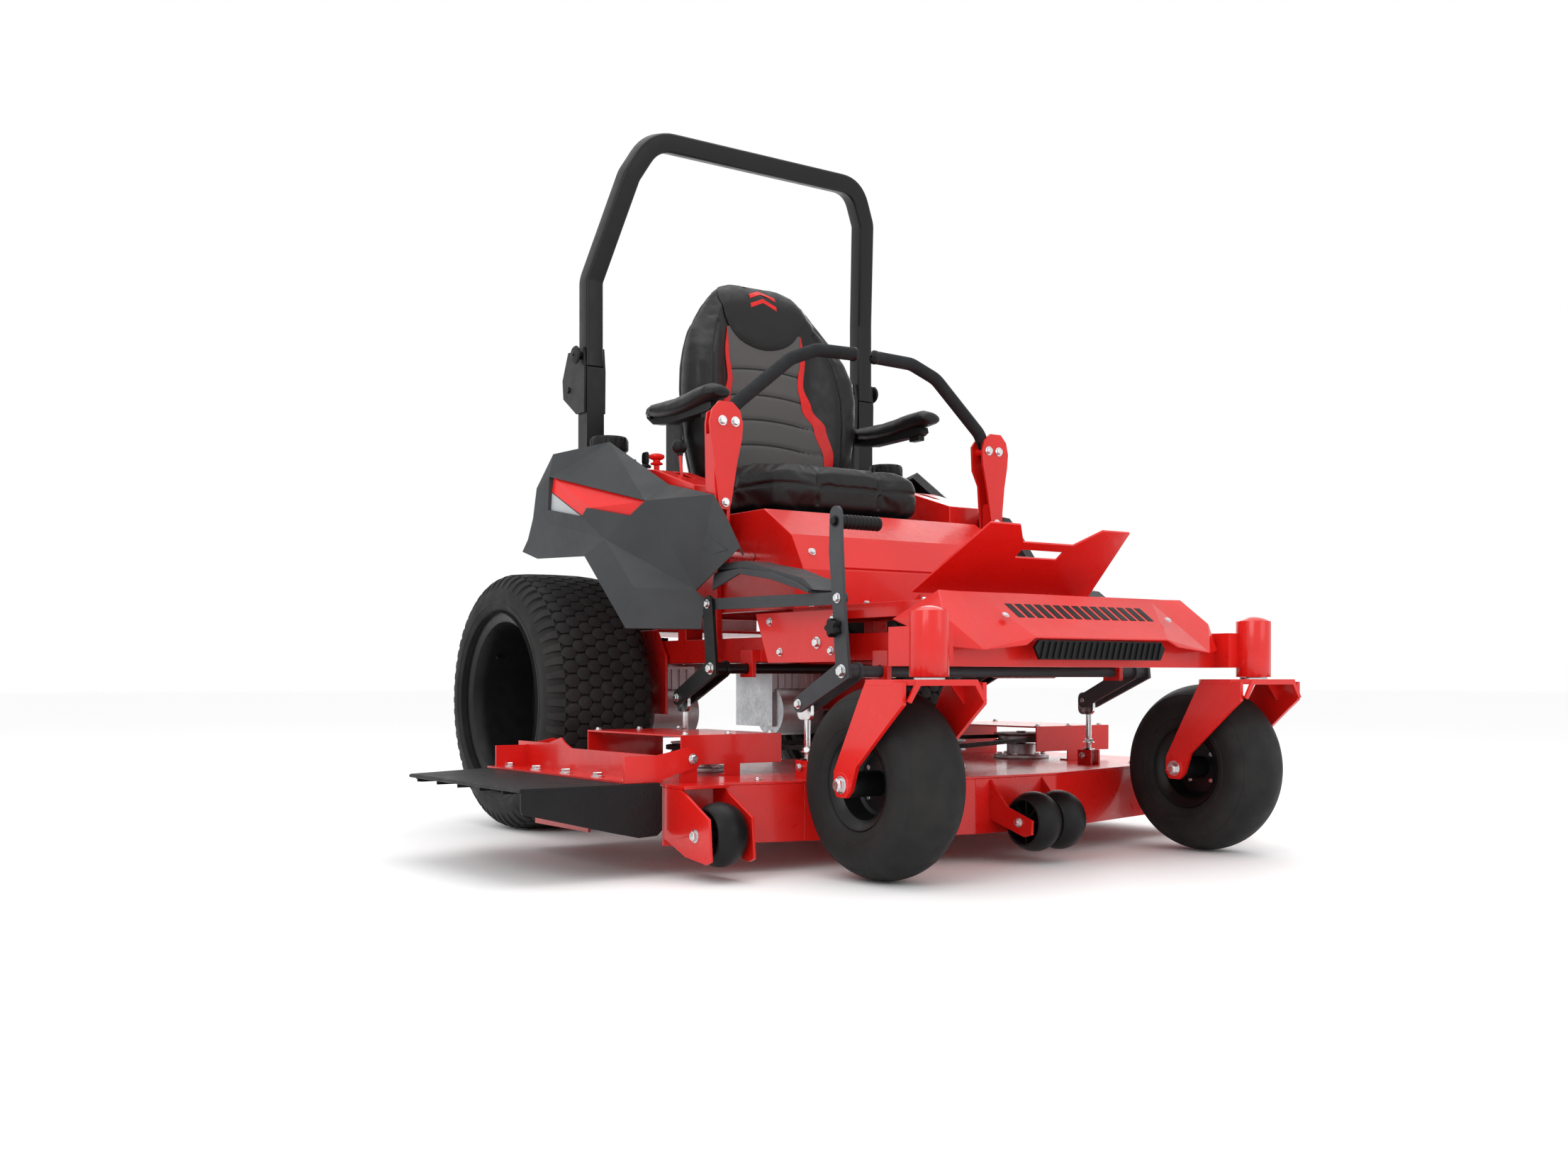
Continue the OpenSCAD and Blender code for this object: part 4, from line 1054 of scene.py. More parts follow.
def head_pad(tree):
    """The stitched head panel, with a plain chevron sewn on it."""
    outline = [(-92, 1474), (-120, 1452), (-134, 1410), (-122, 1356), (-78, 1306), (0, 1286), (78, 1306),
            (122, 1356),
               (134, 1410), (120, 1452), (92, 1474), (50, 1484), (0, 1487), (-50, 1484)]
    loop = smooth_loop([(x, 300, z) for x, z in outline], 4)
    centre = Vector((0, 300, 1392))
    rings = [[centre + (p - centre) * t for p in loop + loop[:1]] for t in (1.0, 0.93, 0.8, 0.6, 0.4, 0.2,
            0.003)]
    pad = cover("head_panel", tree, rings, 4.0, [VINYL], 4.0)
    co = points_of(pad.data)
    n = len(loop) + 1
    for i, out in enumerate((-3.0, 1.5, 4.0, 5.0, 5.5, 5.5, 5.5)):
        co[i * n:(i + 1) * n, 1] -= out / 1000
    put_points(pad.data, co)
    for k, z in enumerate((1442, 1416)):
        rows = []
        for i in range(9):
            x = -42 + 84 * i / 8
            rise = z - abs(x) * 0.42
            rows.append(((x, 300, rise), (x, 300, rise + 12)))
        cover("head_chevron_%d" % k, tree, rows_between(rows, 3), 11.5, [RED_VINYL], 1.2)


def armrest(side):
    """Padded armrest with an upswept front, on its moulded bracket."""
    rings = []
    rows = [(-64, 1088, 20, 8), (-58, 1091, 28, 17), (-32, 1094, 33, 23), (20, 1090, 33, 24),
            (80, 1083, 32, 23),
            (140, 1080, 31, 22), (200, 1082, 30, 21), (240, 1086, 28, 20), (262, 1088, 24, 15),
            (270, 1088, 16, 7)]
    for y, z, wide, high in rows:
        rings.append([(335 + wide * math.cos(q) * (1 + 0.12 * math.cos(2 * q)), y,
                z + high * math.sin(q) * (1 + 0.06 * math.cos(2 * q)))
                      for q in [2 * math.pi * k / 28 for k in range(28)]])
    pad = Shape().rings(rings)
    pad = pad if side == "left" else pad.mirror()
    ob = stuffed("armrest_pad_" + side, pad, 3, 2.0, 0.005)
    sub = ob.modifiers.new("smooth", "SUBSURF")
    sub.levels = sub.render_levels = 1
    apply_all(ob)
    ob.data.materials.append(VINYL)
    ob.data.shade_smooth()
    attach(ob, "arm_" + side)
    bar = Shape()
    bar.prism([(-34, 1056), (-20, 1049), (180, 1044), (252, 1052), (284, 1072), (284, 1092), (262, 1104),
            (240, 1098), (190, 1070), (-30, 1070)],
              "x", 318, 346)
    bar.rod((301.5, 262, 1082), (320, 262, 1082), 22, 32)
    bar.rod((306, 262, 1082), (352, 262, 1082), 15, 28)
    bar.box((322, -20, 1036), (342, 20, 1052))
    bar.bolt((352, 262, 1082), (1, 0, 0), 8, 1)
    bar = bar if side == "left" else bar.mirror()
    make("armrest_arm_" + side, bar, "arm_" + side, [PLASTIC, ZINC], ["armrest_" + side],
            1.6, 35)
# ---- lift linkage, fasteners and controls ----


def ribbon(points, widths, steps=8):
    """The outline of a bar along a 2-D path, with round ends and its own width at each point."""
    pts = [Vector((*p, 0)) for p in points]
    n = len(pts)
    sides = []
    for i, p in enumerate(pts):
        back = unit(p - pts[i - 1]) if i else unit(pts[1] - p)
        on = unit(pts[i + 1] - p) if i < n - 1 else back
        along = unit(back + on)
        across = Vector((-along.y, along.x, 0))
        sides.append((p, across, widths[i] / 2 / max(0.6, across.dot(Vector((-on.y, on.x, 0)))), along))
    left = [p + a * w for p, a, w, _ in sides]
    right = [p - a * w for p, a, w, _ in sides]
    caps = []
    for (p, a, w, t), sign in ((sides[-1], 1), (sides[0], -1)):
        arc = []
        for k in range(1, steps):
            q = math.pi * k / steps
            arc.append(p + a * (w * math.cos(q) * sign) + t * (w * math.sin(q) * sign))
        caps.append(arc)
    outline = left + caps[0] + right[::-1] + caps[1]
    return [(p.x, p.y) for p in outline]


FRONT_CRANK, REAR_CRANK = (-700, 408), (-195, 416)


def crank_points(c):
    return (c[0] + 154, c[1] - 69), (c[0] + 15, c[1] + 150)


def crank_sides(c, pedal):
    """Plates, hubs and pins of a lift crank; the shapes are (both sides, right side only)."""
    a, b = crank_points(c)
    pair, right = Shape(), Shape()
    pair.prism(ribbon([a, c], [34, 38]), "x", 404, 412)
    pair.rod((411, *c), (441, *c), 15, 28)
    pair.bolt((448, *c), (1, 0, 0), 12, 1)
    pair.rod((400, *a), (449, *a), 5.9, 20, 1)
    pair.bolt((448, *a), (1, 0, 0), 9, 1)
    pair.bolt((448, *b), (1, 0, 0), 9, 1)
    pair.rod((425, *b), (449, *b), 5.9, 20, 1)
    plain = ribbon([a, c, b], [36, 44, 40])
    left = Shape().prism(plain, "x", 440, 448)
    if not pedal:
        pair.join(left)
        return pair.both()
    arm = ribbon([a, c, b, (b[0] + 9, 655), (b[0] + 9, 730)], [36, 44, 38, 42, 36])
    right.prism(arm, "x", 440, 448)
    peg(right, (b[0] + 8, 716))
    star_knob(right, (b[0] + 2, 497))
    return pair.both().join(left).join(right.mirror())


def peg(shape, yz):
    """Ribbed rubber foot peg on a bolt."""
    profile = [(9, 0), (14, 0), (15, 2)]
    for k in range(9):
        t = 6 + k * 10.5
        profile += [(15, t), (12.6, t + 1.6), (12.6, t + 4.4), (15, t + 6)]
    profile += [(15, 101), (12.5, 105), (9, 105)]
    shape.lathe(profile, (335, *yz), (1, 0, 0), 32, 2)
    shape.bolt((448, *yz), (1, 0, 0), 10, 2)


def star_knob(shape, yz):
    """Five-lobed clamp knob on the crank's outer face."""
    rings = []
    for x, r in ((448, 17), (450, 20), (464, 20), (468, 17)):
        ring = []
        for k in range(60):
            q = 2 * math.pi * k / 60
            reach = r * (0.86 + 0.16 * math.cos(5 * q))
            ring.append((x, yz[0] + reach * math.cos(q), yz[1] + reach * math.sin(q)))
        rings.append(ring)
    shape.rings(rings, 2)


def lift_cranks():
    front = crank_sides(FRONT_CRANK, True)
    front.rod((-408, *FRONT_CRANK), (408, *FRONT_CRANK), 11.9, 28)
    make("pedal_crank", front, "front_lift", [GREY, ZINC, PLASTIC], ["front_lift_crank"], 1.0,
            32)
    rear = crank_sides(REAR_CRANK, False)
    rear.rod((-408, *REAR_CRANK), (408, *REAR_CRANK), 11.9, 28)
    make("rear_crank", rear, "rear_lift", [BLACK, ZINC, PLASTIC], ["rear_lift_crank"], 1.0, 32)


def lift_rod(c):
    """Threaded rod with a slotted eye above and a clevis below."""
    y, z = c[0] + 154, c[1] - 69
    shape = Shape()
    profile = [(1, 0), (6.2, 0)]
    for k in range(14):
        profile += [(6.9, 1 + k * 2.0), (6.1, 2 + k * 2.0)]
    top = z - 34 - 220
    profile += [(6.9, 31), (6.9, top), (1, top)]
    shape.lathe(profile, (424, y, 220), (0, 0, 1), 20, 0, closed=False)
    shape.bolt((424, y, 236), (0, 0, 1), 12, 0, 8)
    hole = ribbon([(y, z), (y + 14, z)], [17, 17])
    plate_with_hole(shape, eye_outline(y, z), hole, 420, 428)
    shape.prism(round_outline(y, 203, 24, 38, 6), "x", 415, 421)
    shape.prism(round_outline(y, 203, 24, 38, 6), "x", 427, 433)
    shape.box((415, y - 12, 216), (433, y + 12, 222))
    shape.rod((402, y, 205), (446, y, 205), 4.9, 20)
    for s in (-1, 1):
        shape.bolt((424 + s * 22, y, 205), (s, 0, 0), 7)
    return shape


def round_outline(y, z, w, h, r):
    return [(y + p[0], z + p[1]) for p in round_rect(w, h, r)]


def eye_outline(y, z):
    return [(y + 7 + p[0], z - 7 + p[1]) for p in round_rect(50, 54, 14, 8)]


def plate_with_hole(shape, outer, hole, x0, x1, m=0):
    """A plate across X with a hole through it, both given as [y, z] outlines."""
    n = 48
    cy = sum(p[0] for p in hole) / len(hole)
    cz = sum(p[1] for p in hole) / len(hole)
    loops = []
    for outline in (outer, hole):
        loops.append([reach(outline, cy, cz, 2 * math.pi * k / n) for k in range(n)])
    (out, inn) = loops
    rings = []
    for k in range(n):
        rings.append([(x0, *out[k]), (x1, *out[k]), (x1, *inn[k]), (x0, *inn[k])])
    shape.rings(rings, m, closed=True)


def reach(outline, cy, cz, q):
    """Where a ray at an angle from a centre leaves a closed outline."""
    dy, dz = math.cos(q), math.sin(q)
    best = 0.0
    for (y0, z0), (y1, z1) in zip(outline, outline[1:] + outline[:1]):
        ey, ez = y1 - y0, z1 - z0
        cross = dy * ez - dz * ey
        if abs(cross) < 1e-9:
            continue
        t = ((y0 - cy) * ez - (z0 - cz) * ey) / cross
        s = ((y0 - cy) * dz - (z0 - cz) * dy) / cross
        if t > best and -1e-6 <= s <= 1 + 1e-6:
            best = t
    return cy + dy * best, cz + dz * best


def deck_fittings():
    shape = Shape()
    for c in (FRONT_CRANK, REAR_CRANK):
        shape.join(lift_rod(c))
    shape.rod((668, -680, 90), (786, -680, 90), 5.9, 20)
    shape.bolt((785, -680, 90), (1, 0, 0), 11)
    shape.bolt((681, -680, 90), (-1, 0, 0), 10)
    shape.both()
    shape.rod((-90, -830, 90), (90, -830, 90), 5.9, 20)
    for s in (-1, 1):
        shape.bolt((s * 80, -830, 90), (s, 0, 0), 9)
    make("deck_fittings", shape, "deck", ZINC, ["deck_hardware"], 0.5, 32)


def springs():
    shape = Shape()
    shape.coil((240, -612, 408), (240, -403, 408), 13.2, 1.8, 26, hook=0.0)
    for y in (-614, -401):
        shape.rod((226, y, 408), (254, y, 408), 3.0, 12)
    make("coil_springs", shape.both(), "chassis", ZINC, ["lift_springs"], 0, 60)


def frame_fasteners():
    shape = Shape()
    shape.rod((331, -194.5, 680), (449, -194.5, 680), 9.9, 28)
    shape.bolt((449, -194.5, 680), (1, 0, 0), 12)
    for y, z, size in ((-540, 470, 11), (-600, 520, 8), (-360, 520, 8), (-590, 452, 8), (-400, 452, 8)):
        shape.bolt((394, y, z), (1, 0, 0), size)
    for y in (-830, -640, -440):
        shape.bolt((338, y, 551), (0, 0, 1), 7)
    for z in (500, 560, 640):
        shape.bolt((325, 400, z), (1, 0, 0), 9)
    for y in (-925, -905):
        shape.bolt((360, y, 493), (0, 0, 1), 7)
    make("frame_fasteners", shape.both(), "chassis", ZINC, ["frame_hardware"], 0.4, 32)
    chute = Shape()
    for y in (-520, -385, -240, -95, 50):
        chute.bolt((-840, y, 191), (0, 0, 1), 12, 0, 7.5)
    for y in (-558, 60):
        chute.bolt((-716, y, 231), (0, 1 if y > 0 else -1, 0), 9)
    make("chute_bolts", chute, "chute", ZINC, (), 0.4, 32)
    deck = Shape()
    for x in (410, 520, 630):
        for y in (-384, 12):
            deck.bolt((x, y, 272), (0, 0, 1), 7)
    for x, y in ((495, -235), (0, -465)):
        for k in range(6):
            q = math.radians(60 * k + 30)
            deck.bolt((x + 58 * math.cos(q), y + 58 * math.sin(q), 193), (0, 0, 1), 7.5)
    for x, y in ((700, -520), (560, -560), (690, -40)):
        deck.bolt((x, y, 183), (0, 0, 1), 7)
    make("deck_bolts", deck.both(), "deck", ZINC, (), 0.4, 32)


def dash_controls():
    key = Shape()
    key.lathe([(2, 0), (14, 0), (14.5, 2), (14.5, 5), (11, 8), (2, 8)], (-400, 195, 928.5), (0, 0, 1), 36, 0,
            closed=False)
    rings = []
    for z, w, h in ((935, 9, 20), (940, 9, 22), (962, 8, 25), (967, 7, 23), (968.5, 5, 18)):
        rings.append([(-400 + p[0], 195 + p[1], z) for p in round_rect(w, h, 2.2)])
    key.rings(rings)
    for y in (186, 192, 198, 204):
        key.box((-405.2, y - 1.2, 942), (-394.8, y + 1.2, 962))
    make("key_grip", key, "key", PLASTIC, ["key_switch"], 0.6, 35)
    knob = Shape()
    profile = [(1, 0), (7, 0), (7, 28), (15, 30), (16, 33), (9, 37), (9, 41), (18, 45), (20, 49), (19, 54),
            (12, 57), (1, 57.5)]
    knob.lathe(profile, (-400, 138, 900), (0, 0, 1), 40, 0, closed=False)
    make("clutch_knob", knob, "pto", RED_PLASTIC, ["pto_knob"], 0.5, 35)
    d = unit((0, math.sin(math.radians(8)), math.cos(math.radians(8))))
    base = Vector((-392, 25, 862))
    lever = Shape()
    lever.lathe([(1, 0), (4, 0), (4, 84), (1, 84)], base, d, 20, 0, closed=False)
    lever.rod((-399, 25, 862), (-385, 25, 862), 8, 24)
    ball = [(1, 80), (7, 80), (8, 86)]
    ball += [(19 * math.cos(q),
            103 + 19 * math.sin(q)) for q in [math.radians(-58 + 14 * k) for k in range(10)]]
    ball += [(2, 122)]
    lever.lathe(ball, base, d, 36, 1, closed=False)
    make("throttle", lever, "throttle", [RED, PLASTIC], ["throttle_lever"], 0.3, 40)


# ---- engine and drive ----


def engine():
    """Fan housing with a screen, air cleaner, rocker covers, and the exhaust."""
    shroud = Shape()
    profile = [(170, 0), (175, 0), (175, 78), (171, 92), (160, 101), (128, 104.5), (124, 104.5), (124, 99),
            (158, 96),
               (166, 88), (170, 76)]
    shroud.lathe(profile, (0, 650, 731), (0, 0, 1), 80)
    for r in (30, 50, 70, 90, 110):
        shroud.lathe([(r - 2, 98), (r + 2, 98), (r + 2, 102), (r - 2, 102)], (0, 650, 731), (0, 0, 1), 64)
    for k in range(12):
        q = math.radians(30 * k)
        a = Vector((24 * math.cos(q), 650 + 24 * math.sin(q), 831))
        b = Vector((126 * math.cos(q), 650 + 126 * math.sin(q), 831))
        shroud.rod(a, b, 2.4, 10)
    shroud.lathe([(2, 96), (26, 96), (26, 103), (20, 107), (2, 108)], (0, 650, 731), (0, 0, 1), 40, 0,
            closed=False)
    can = [(2, 0), (56, 0), (61, 4), (62, 14), (59, 18), (59, 74), (61.5, 78), (61.5, 84), (59, 88),
            (59, 190), (61.5, 194),
           (61.5, 200), (59, 204), (59, 244), (54, 256), (2, 260)]
    shroud.lathe(can, (-110, 630, 905), (1, 0, 0), 64, 0, closed=False)
    shroud.box((-20, 590, 836), (60, 670, 850))
    for s in (-1, 1):
        shroud.bolt((s * 120, 520, 800), (0, -1, 0), 7, 1)
    make("fan_housing", shroud, "chassis", [PLASTIC, ZINC], ["engine_shroud"], 1.2, 32)
    trim = Shape()
    for s in (-1, 1):
        turn = Matrix.Translation((s * 75, 780, 620)) @ Matrix.Rotation(math.radians(s * -28), 4, "Z")
        cover_part = Shape()
        cover_part.rings([[(x * g, y, z * g) for x, z in round_rect(116, 124, 16)] for y,
                g in ((146, 0.99), (150, 0.97), (153, 0.9))])
        for x, z in ((-42, -46), (42, -46), (-42, 46), (42, 46)):
            cover_part.bolt((x, 152, z), (0, 1, 0), 6, 1)
        trim.join(cover_part.turned(turn))
    trim.lathe([(2, 0), (34, 0), (38, 4), (38, 60), (34, 72), (2, 76)], (-150, 560, 570), (-1, 0, 0), 40, 2,
            closed=False)
    make("engine_trim", trim, "chassis", [CAST, ZINC, BLACK], (), 0.8, 32)
    pipe = Shape()
    body = [(2, 0), (30, 0), (35, 5), (36, 12), (34, 16), (34, 180), (36, 186), (36, 194), (34, 200),
            (34, 364), (36, 368),
            (35, 375), (30, 380), (2, 380)]
    pipe.lathe(body, (-190, 974, 560), (1, 0, 0), 48, 0, closed=False)
    for s in (-1, 1):
        pipe.sweep(round_corners([(s * 110, 974, 588), (s * 110, 974, 650)], 10), circle(12, 20))
        pipe.lathe([(12, 0), (17, 0), (17, 5), (12, 5)], (s * 110, 974, 600), (0, 0, 1), 28)
    make("muffler_can", pipe, "chassis", STEEL, ["muffler"], 0.6, 35)


def drive_details():
    """Cast ribs, cover bolts and cooling fans of the two drive units."""
    shape = Shape()
    for k in range(6):
        shape.box((150 + 24 * k, 396, 262), (155 + 24 * k, 401, 418))
    for y in (415, 575):
        for z in (270, 340, 410):
            shape.bolt((300, y, z), (1, 0, 0), 6.5, 1)
    shape.lathe([(14, 0), (52, 0), (55, 3), (55, 8), (14, 8)], (215, 495, 485), (0, 0, 1), 40, 2)
    for k in range(10):
        q = math.radians(36 * k)
        u = Vector((math.cos(q), math.sin(q), 0))
        w = Vector((-math.sin(q), math.cos(q), 0))
        c = Vector((215, 495, 493))
        shape.rings([[c + u * 16 + w * 3, c + u * 50 + w * 9, c + u * 50 + w * 6, c + u * 16],
                     [c + u * 16 + w * 3 + Vector((0, 0, 12)), c + u * 50 + w * 3 + Vector((0, 0, 12)),
                      c + u * 50 + Vector((0, 0, 12)), c + u * 16 + Vector((0, 0, 12))]], 2)
    make("drive_trim", shape.both(), "chassis", [CAST, ZINC, PLASTIC], (), 0.5, 32)


def seat_frame():
    """Bolts under the seat and on its sides."""
    shape = Shape()
    for x, y in ((165, -90), (165, 240)):
        shape.bolt((x, y, 804), (0, 0, 1), 7)
    for y in (225, 280):
        shape.bolt((284, y, 840), (1, 0, 0), 7)
    make("seat_frame_bolts", shape.both(), "seat", ZINC, (), 0.4, 32)


def pod_panel():
    """Raised panel on the seat pod's front, with corner bolts."""
    low, high = Vector((0, -402, 552)), Vector((0, -400, 640))
    top = Vector((0, -352, 722))
    out = unit((0, -82, 48))
    shape = Shape()
    panel = [(-250, 0.06), (-215, 0.94), (215, 0.94), (250, 0.06)]
    for lift_a, lift_b, grow in ((0, 3, 1.0), (3, 4.2, 0.985)):
        rings = []
        for lift in (lift_a, lift_b):
            rings.append([Vector((x * grow, 0, 0)) + high.lerp(top,
                    0.5 + (t - 0.5) * grow) + out * lift for x, t in panel])
        shape.rings(rings)
    for s in (-1, 1):
        shape.bolt(high.lerp(top, 0.5) + Vector((s * 290, 0, 0)), out, 8, 1)
        shape.bolt(low.lerp(high, 0.5) + Vector((s * 300, 0, 0)), (0, -1, 0), 7, 1)
    make("pod_panel", shape, "chassis", [RED, ZINC], (), 1.0, 30)




# ---- bodywork ----


def fender(side):
    """Moulded rear fender: crisp facets, a recess for the stripes, and a folded lower skirt."""
    v = {
        "a0": (500, 290, 968), "a1": (500, 200, 987), "a2": (459, -22, 860), "a3": (460, -228, 815),
        "a4": (460, -267, 775), "a5": (460, -338, 686), "b0": (604, 306, 960), "b1": (617, 302, 901),
        "b2": (530, -33, 815), "c0": (622, 365, 878), "c1": (622, 386, 804), "g1": (619, 306, 818),
        "g2": (603, 152, 789), "g3": (602, 128, 808), "g4": (531, -20, 775), "e1": (590, 55, 727),
        "d0": (620, 420, 751), "e0": (622, 450, 722), "f0": (622, 360, 698), "g0": (622, 102, 689),
        "h0": (618, -97, 509), "i0": (476, -200, 507), "k1": (584, -76, 605), "f1": (472, -168, 598),
        "l1": (476, -172, 583), "j0": (458, -184, 579),
        "r0": (500, 352, 962), "r1": (500, 420, 862), "r2": (500, 452, 800), "r3": (500, 470, 730),
    }
    faces = [
        "b0 a0 a1", "b0 a1 b1", "b1 a1 b2", "a1 a2 b2", "b0 b1 c0", "b1 g1 c1 c0", "c1 g1 g2 e1",
        "g2 g3 g4 e1",
        "e1 g4 b2", "e1 b2 f1", "e1 f1 k1", "c1 e1 g0 f0 e0 d0", "g0 e1 k1 h0", "k1 l1 i0 h0", "k1 f1 l1",
        "b2 a2 a3", "b2 a3 f1", "a3 a4 f1", "a4 a5 f1", "l1 f1 j0", "l1 j0 i0",
        "b0 c0 r1 r0", "c0 c1 r2 r1", "c1 d0 e0 r3 r2", "a0 b0 r0", "e0 f0 r3",
    ]
    verts = {k: Vector(p) for k, p in v.items()}
    names = list(verts)
    shape = Shape().add(verts.values(), [[names.index(n) for n in f.split()] for f in faces])
    # Recess floor and walls
    rim = ["b1", "b2", "g4", "g3", "g2", "g1"]
    inner = [verts[n] + Vector((-11, 0, 0)) for n in rim]
    ring = [verts[n] for n in rim]
    shape.add(ring + inner,
            [[k, (k + 1) % 6, 6 + (k + 1) % 6, 6 + k] for k in range(6)] + [[6, 7, 8, 9, 10, 11]])
    # Flange that turns in along the top and front edge
    top = ["a0", "a1", "a2", "a3", "a4", "a5"]
    outer = [verts[n] for n in top]
    inward = [p + Vector((-14, 4, -16)) for p in outer]
    shape.add(outer + inward, [[k, k + 1, 7 + k, 6 + k] for k in range(5)])
    shape = shape if side == "left" else shape.mirror()
    ob = make("fender_" + side, shape, "chassis", SHELL, ["fender_%s" % side])
    weld_open(ob, 5.0, 3.2)
    blade_scoop(side)
    stripes(side, verts)
    tank_neck(side)
    sill(side)
    return ob


def weld_open(ob, thick, edge):
    """Joins the facets of an open skin, gives it thickness and rounds its creases."""
    bm = bmesh.new()
    bm.from_mesh(ob.data)
    bmesh.ops.remove_doubles(bm, verts=bm.verts, dist=0.0003)
    bmesh.ops.recalc_face_normals(bm, faces=bm.faces)
    middle = sum((v.co for v in bm.verts), Vector()) / len(bm.verts)
    outward = 1 if middle.x * 1000 > CENTRE else -1
    if sum(f.normal.x * f.calc_area() for f in bm.faces) * outward < 0:
        bmesh.ops.reverse_faces(bm, faces=bm.faces)
    for face in bm.faces:
        face.smooth = True
    bm.to_mesh(ob.data)
    bm.free()
    for mod in list(ob.modifiers):
        ob.modifiers.remove(mod)
    solid = ob.modifiers.new("wall", "SOLIDIFY")
    solid.thickness = thick / 1000
    solid.offset = -1.0
    bevel(ob, edge, 3, 9)


def blade_scoop(side):
    """Dark scoop let into the fender's front face."""
    points = [(472, -80, 742), (466, -120, 750), (463, -150, 749), (461, -292, 683), (463, -238, 678)]
    inner = [Vector(p) + Vector((-7, 2, -4)) for p in points[:2]] + [Vector(p) + Vector((3, 0,
            0)) for p in points[2:]]
    shape = Shape().rings([[Vector(p) + Vector((2.5, 0, 0)) for p in points], inner])
    shape = shape if side == "left" else shape.mirror()
    make("fender_scoop_" + side, shape, "chassis", SHELL, (), 1.2, 20)


def stripes(side, verts):
    """Plain red and pale grey stripes in the recess, in place of lettering."""
    lift = Vector((-9.5, 0, 0))
    at_edge = [verts[n] + lift for n in ("b1", "b2", "g4", "g3", "g2", "g1")]
    b1, b2, g4, g3, g2, g1 = at_edge
    low = b1.lerp(g1, 0.45)
    cut = g1.lerp(g2, 0.86)
    red = [b1.lerp(b2, 0.015), b2, g4, g3, g2.lerp(g1, 0.06), low]
    grey = [low + Vector((0, 0, -3)), cut, g1]
    shape = Shape()
    for ring, m in ((red, 0), (grey, 1)):
        shape.rings([[p + Vector((-1.5, 0, 0)) for p in ring], ring], m)
    shape = shape if side == "left" else shape.mirror()
    make("fender_stripes_" + side, shape, "chassis", [STRIPE, PALE], (), 0.0, 35)


def tank_neck(side):
    """Shoulder of the tank and its threaded filler neck."""
    shape = Shape()
    body = smooth_loop([(x, y, 0) for x,
            y in ((392, 246), (470, 240), (516, 250), (520, 330), (512, 352), (470, 352), (392, 346),
            (386, 300))], 3)
    for a, b, grow in ((860, 948, 1.0), (948, 957, 0.93)):
        shape.rings([[(454 + (p.x - 454) * g, 296 + (p.y - 296) * g, z) for p in body] for z,
                g in ((a, grow), (b, grow))])
    shape.lathe([(31, 0), (40, 0), (40, 5), (36, 7), (36, 14), (31, 15)], (454, 288, 956), (0, 0, 1), 48)
    shape = shape if side == "left" else shape.mirror()
    make("tank_neck_" + side, shape, "chassis", PLASTIC, (), 1.5, 35)


def fuel_cap(side):
    """Screw cap with grip flutes round it."""
    rings = []
    for z, r, deep in ((972, 44, 0), (976, 44, 0), (977, 47, 0), (981, 49.5, 2.2), (1002, 49.5, 2.2),
            (1009, 47.5, 1.5),
                       (1012.5, 44, 0), (1012.8, 30, 0)):
        ring = []
        for k in range(96):
            q = 2 * math.pi * k / 96
            wave = deep if (k % 8) < 3 else 0.0
            ring.append((454 + (r - wave) * math.cos(q), 288 + (r - wave) * math.sin(q), z))
        rings.append(ring)
    shape = Shape().rings(rings)
    shape.lathe([(20, 0), (29, 0), (29, 20), (20, 20)], (454, 288, 950), (0, 0, 1), 40)
    shape = shape if side == "left" else shape.mirror()
    make("screw_cap_" + side, shape, "cap_" + side, PLASTIC, ["fuel_cap_" + side], 0.6, 35)


def sill(side):
    """Arched plastic trim over the tie bar, with a rolled outer edge."""
    top = [(-216, 655), (-330, 656), (-470, 632), (-560, 605), (-600, 580)]
    edge = [(-216, 634), (-325, 640), (-450, 622), (-545, 596), (-585, 578)]
    rings = []
    rows = zip(top, edge, [(-208, 596), (-322, 628), (-446, 609), (-540, 586), (-590, 572)])
    for (y0, z0), (y1, z1), (y2, z2) in rows:
        rings.append([(376, y0, z0), (424, y0, z0 - 3), (452, y1, z1), (453, y2, z2), (448, y2, z2),
                (446, y1, z1 - 5),
                      (422, y0, z0 - 8), (376, y0, z0 - 5)])
    shape = Shape().rings(rings)
    shape = shape if side == "left" else shape.mirror()
    make("sill_trim_" + side, shape, "chassis", SHELL, (), 2.0, 22)


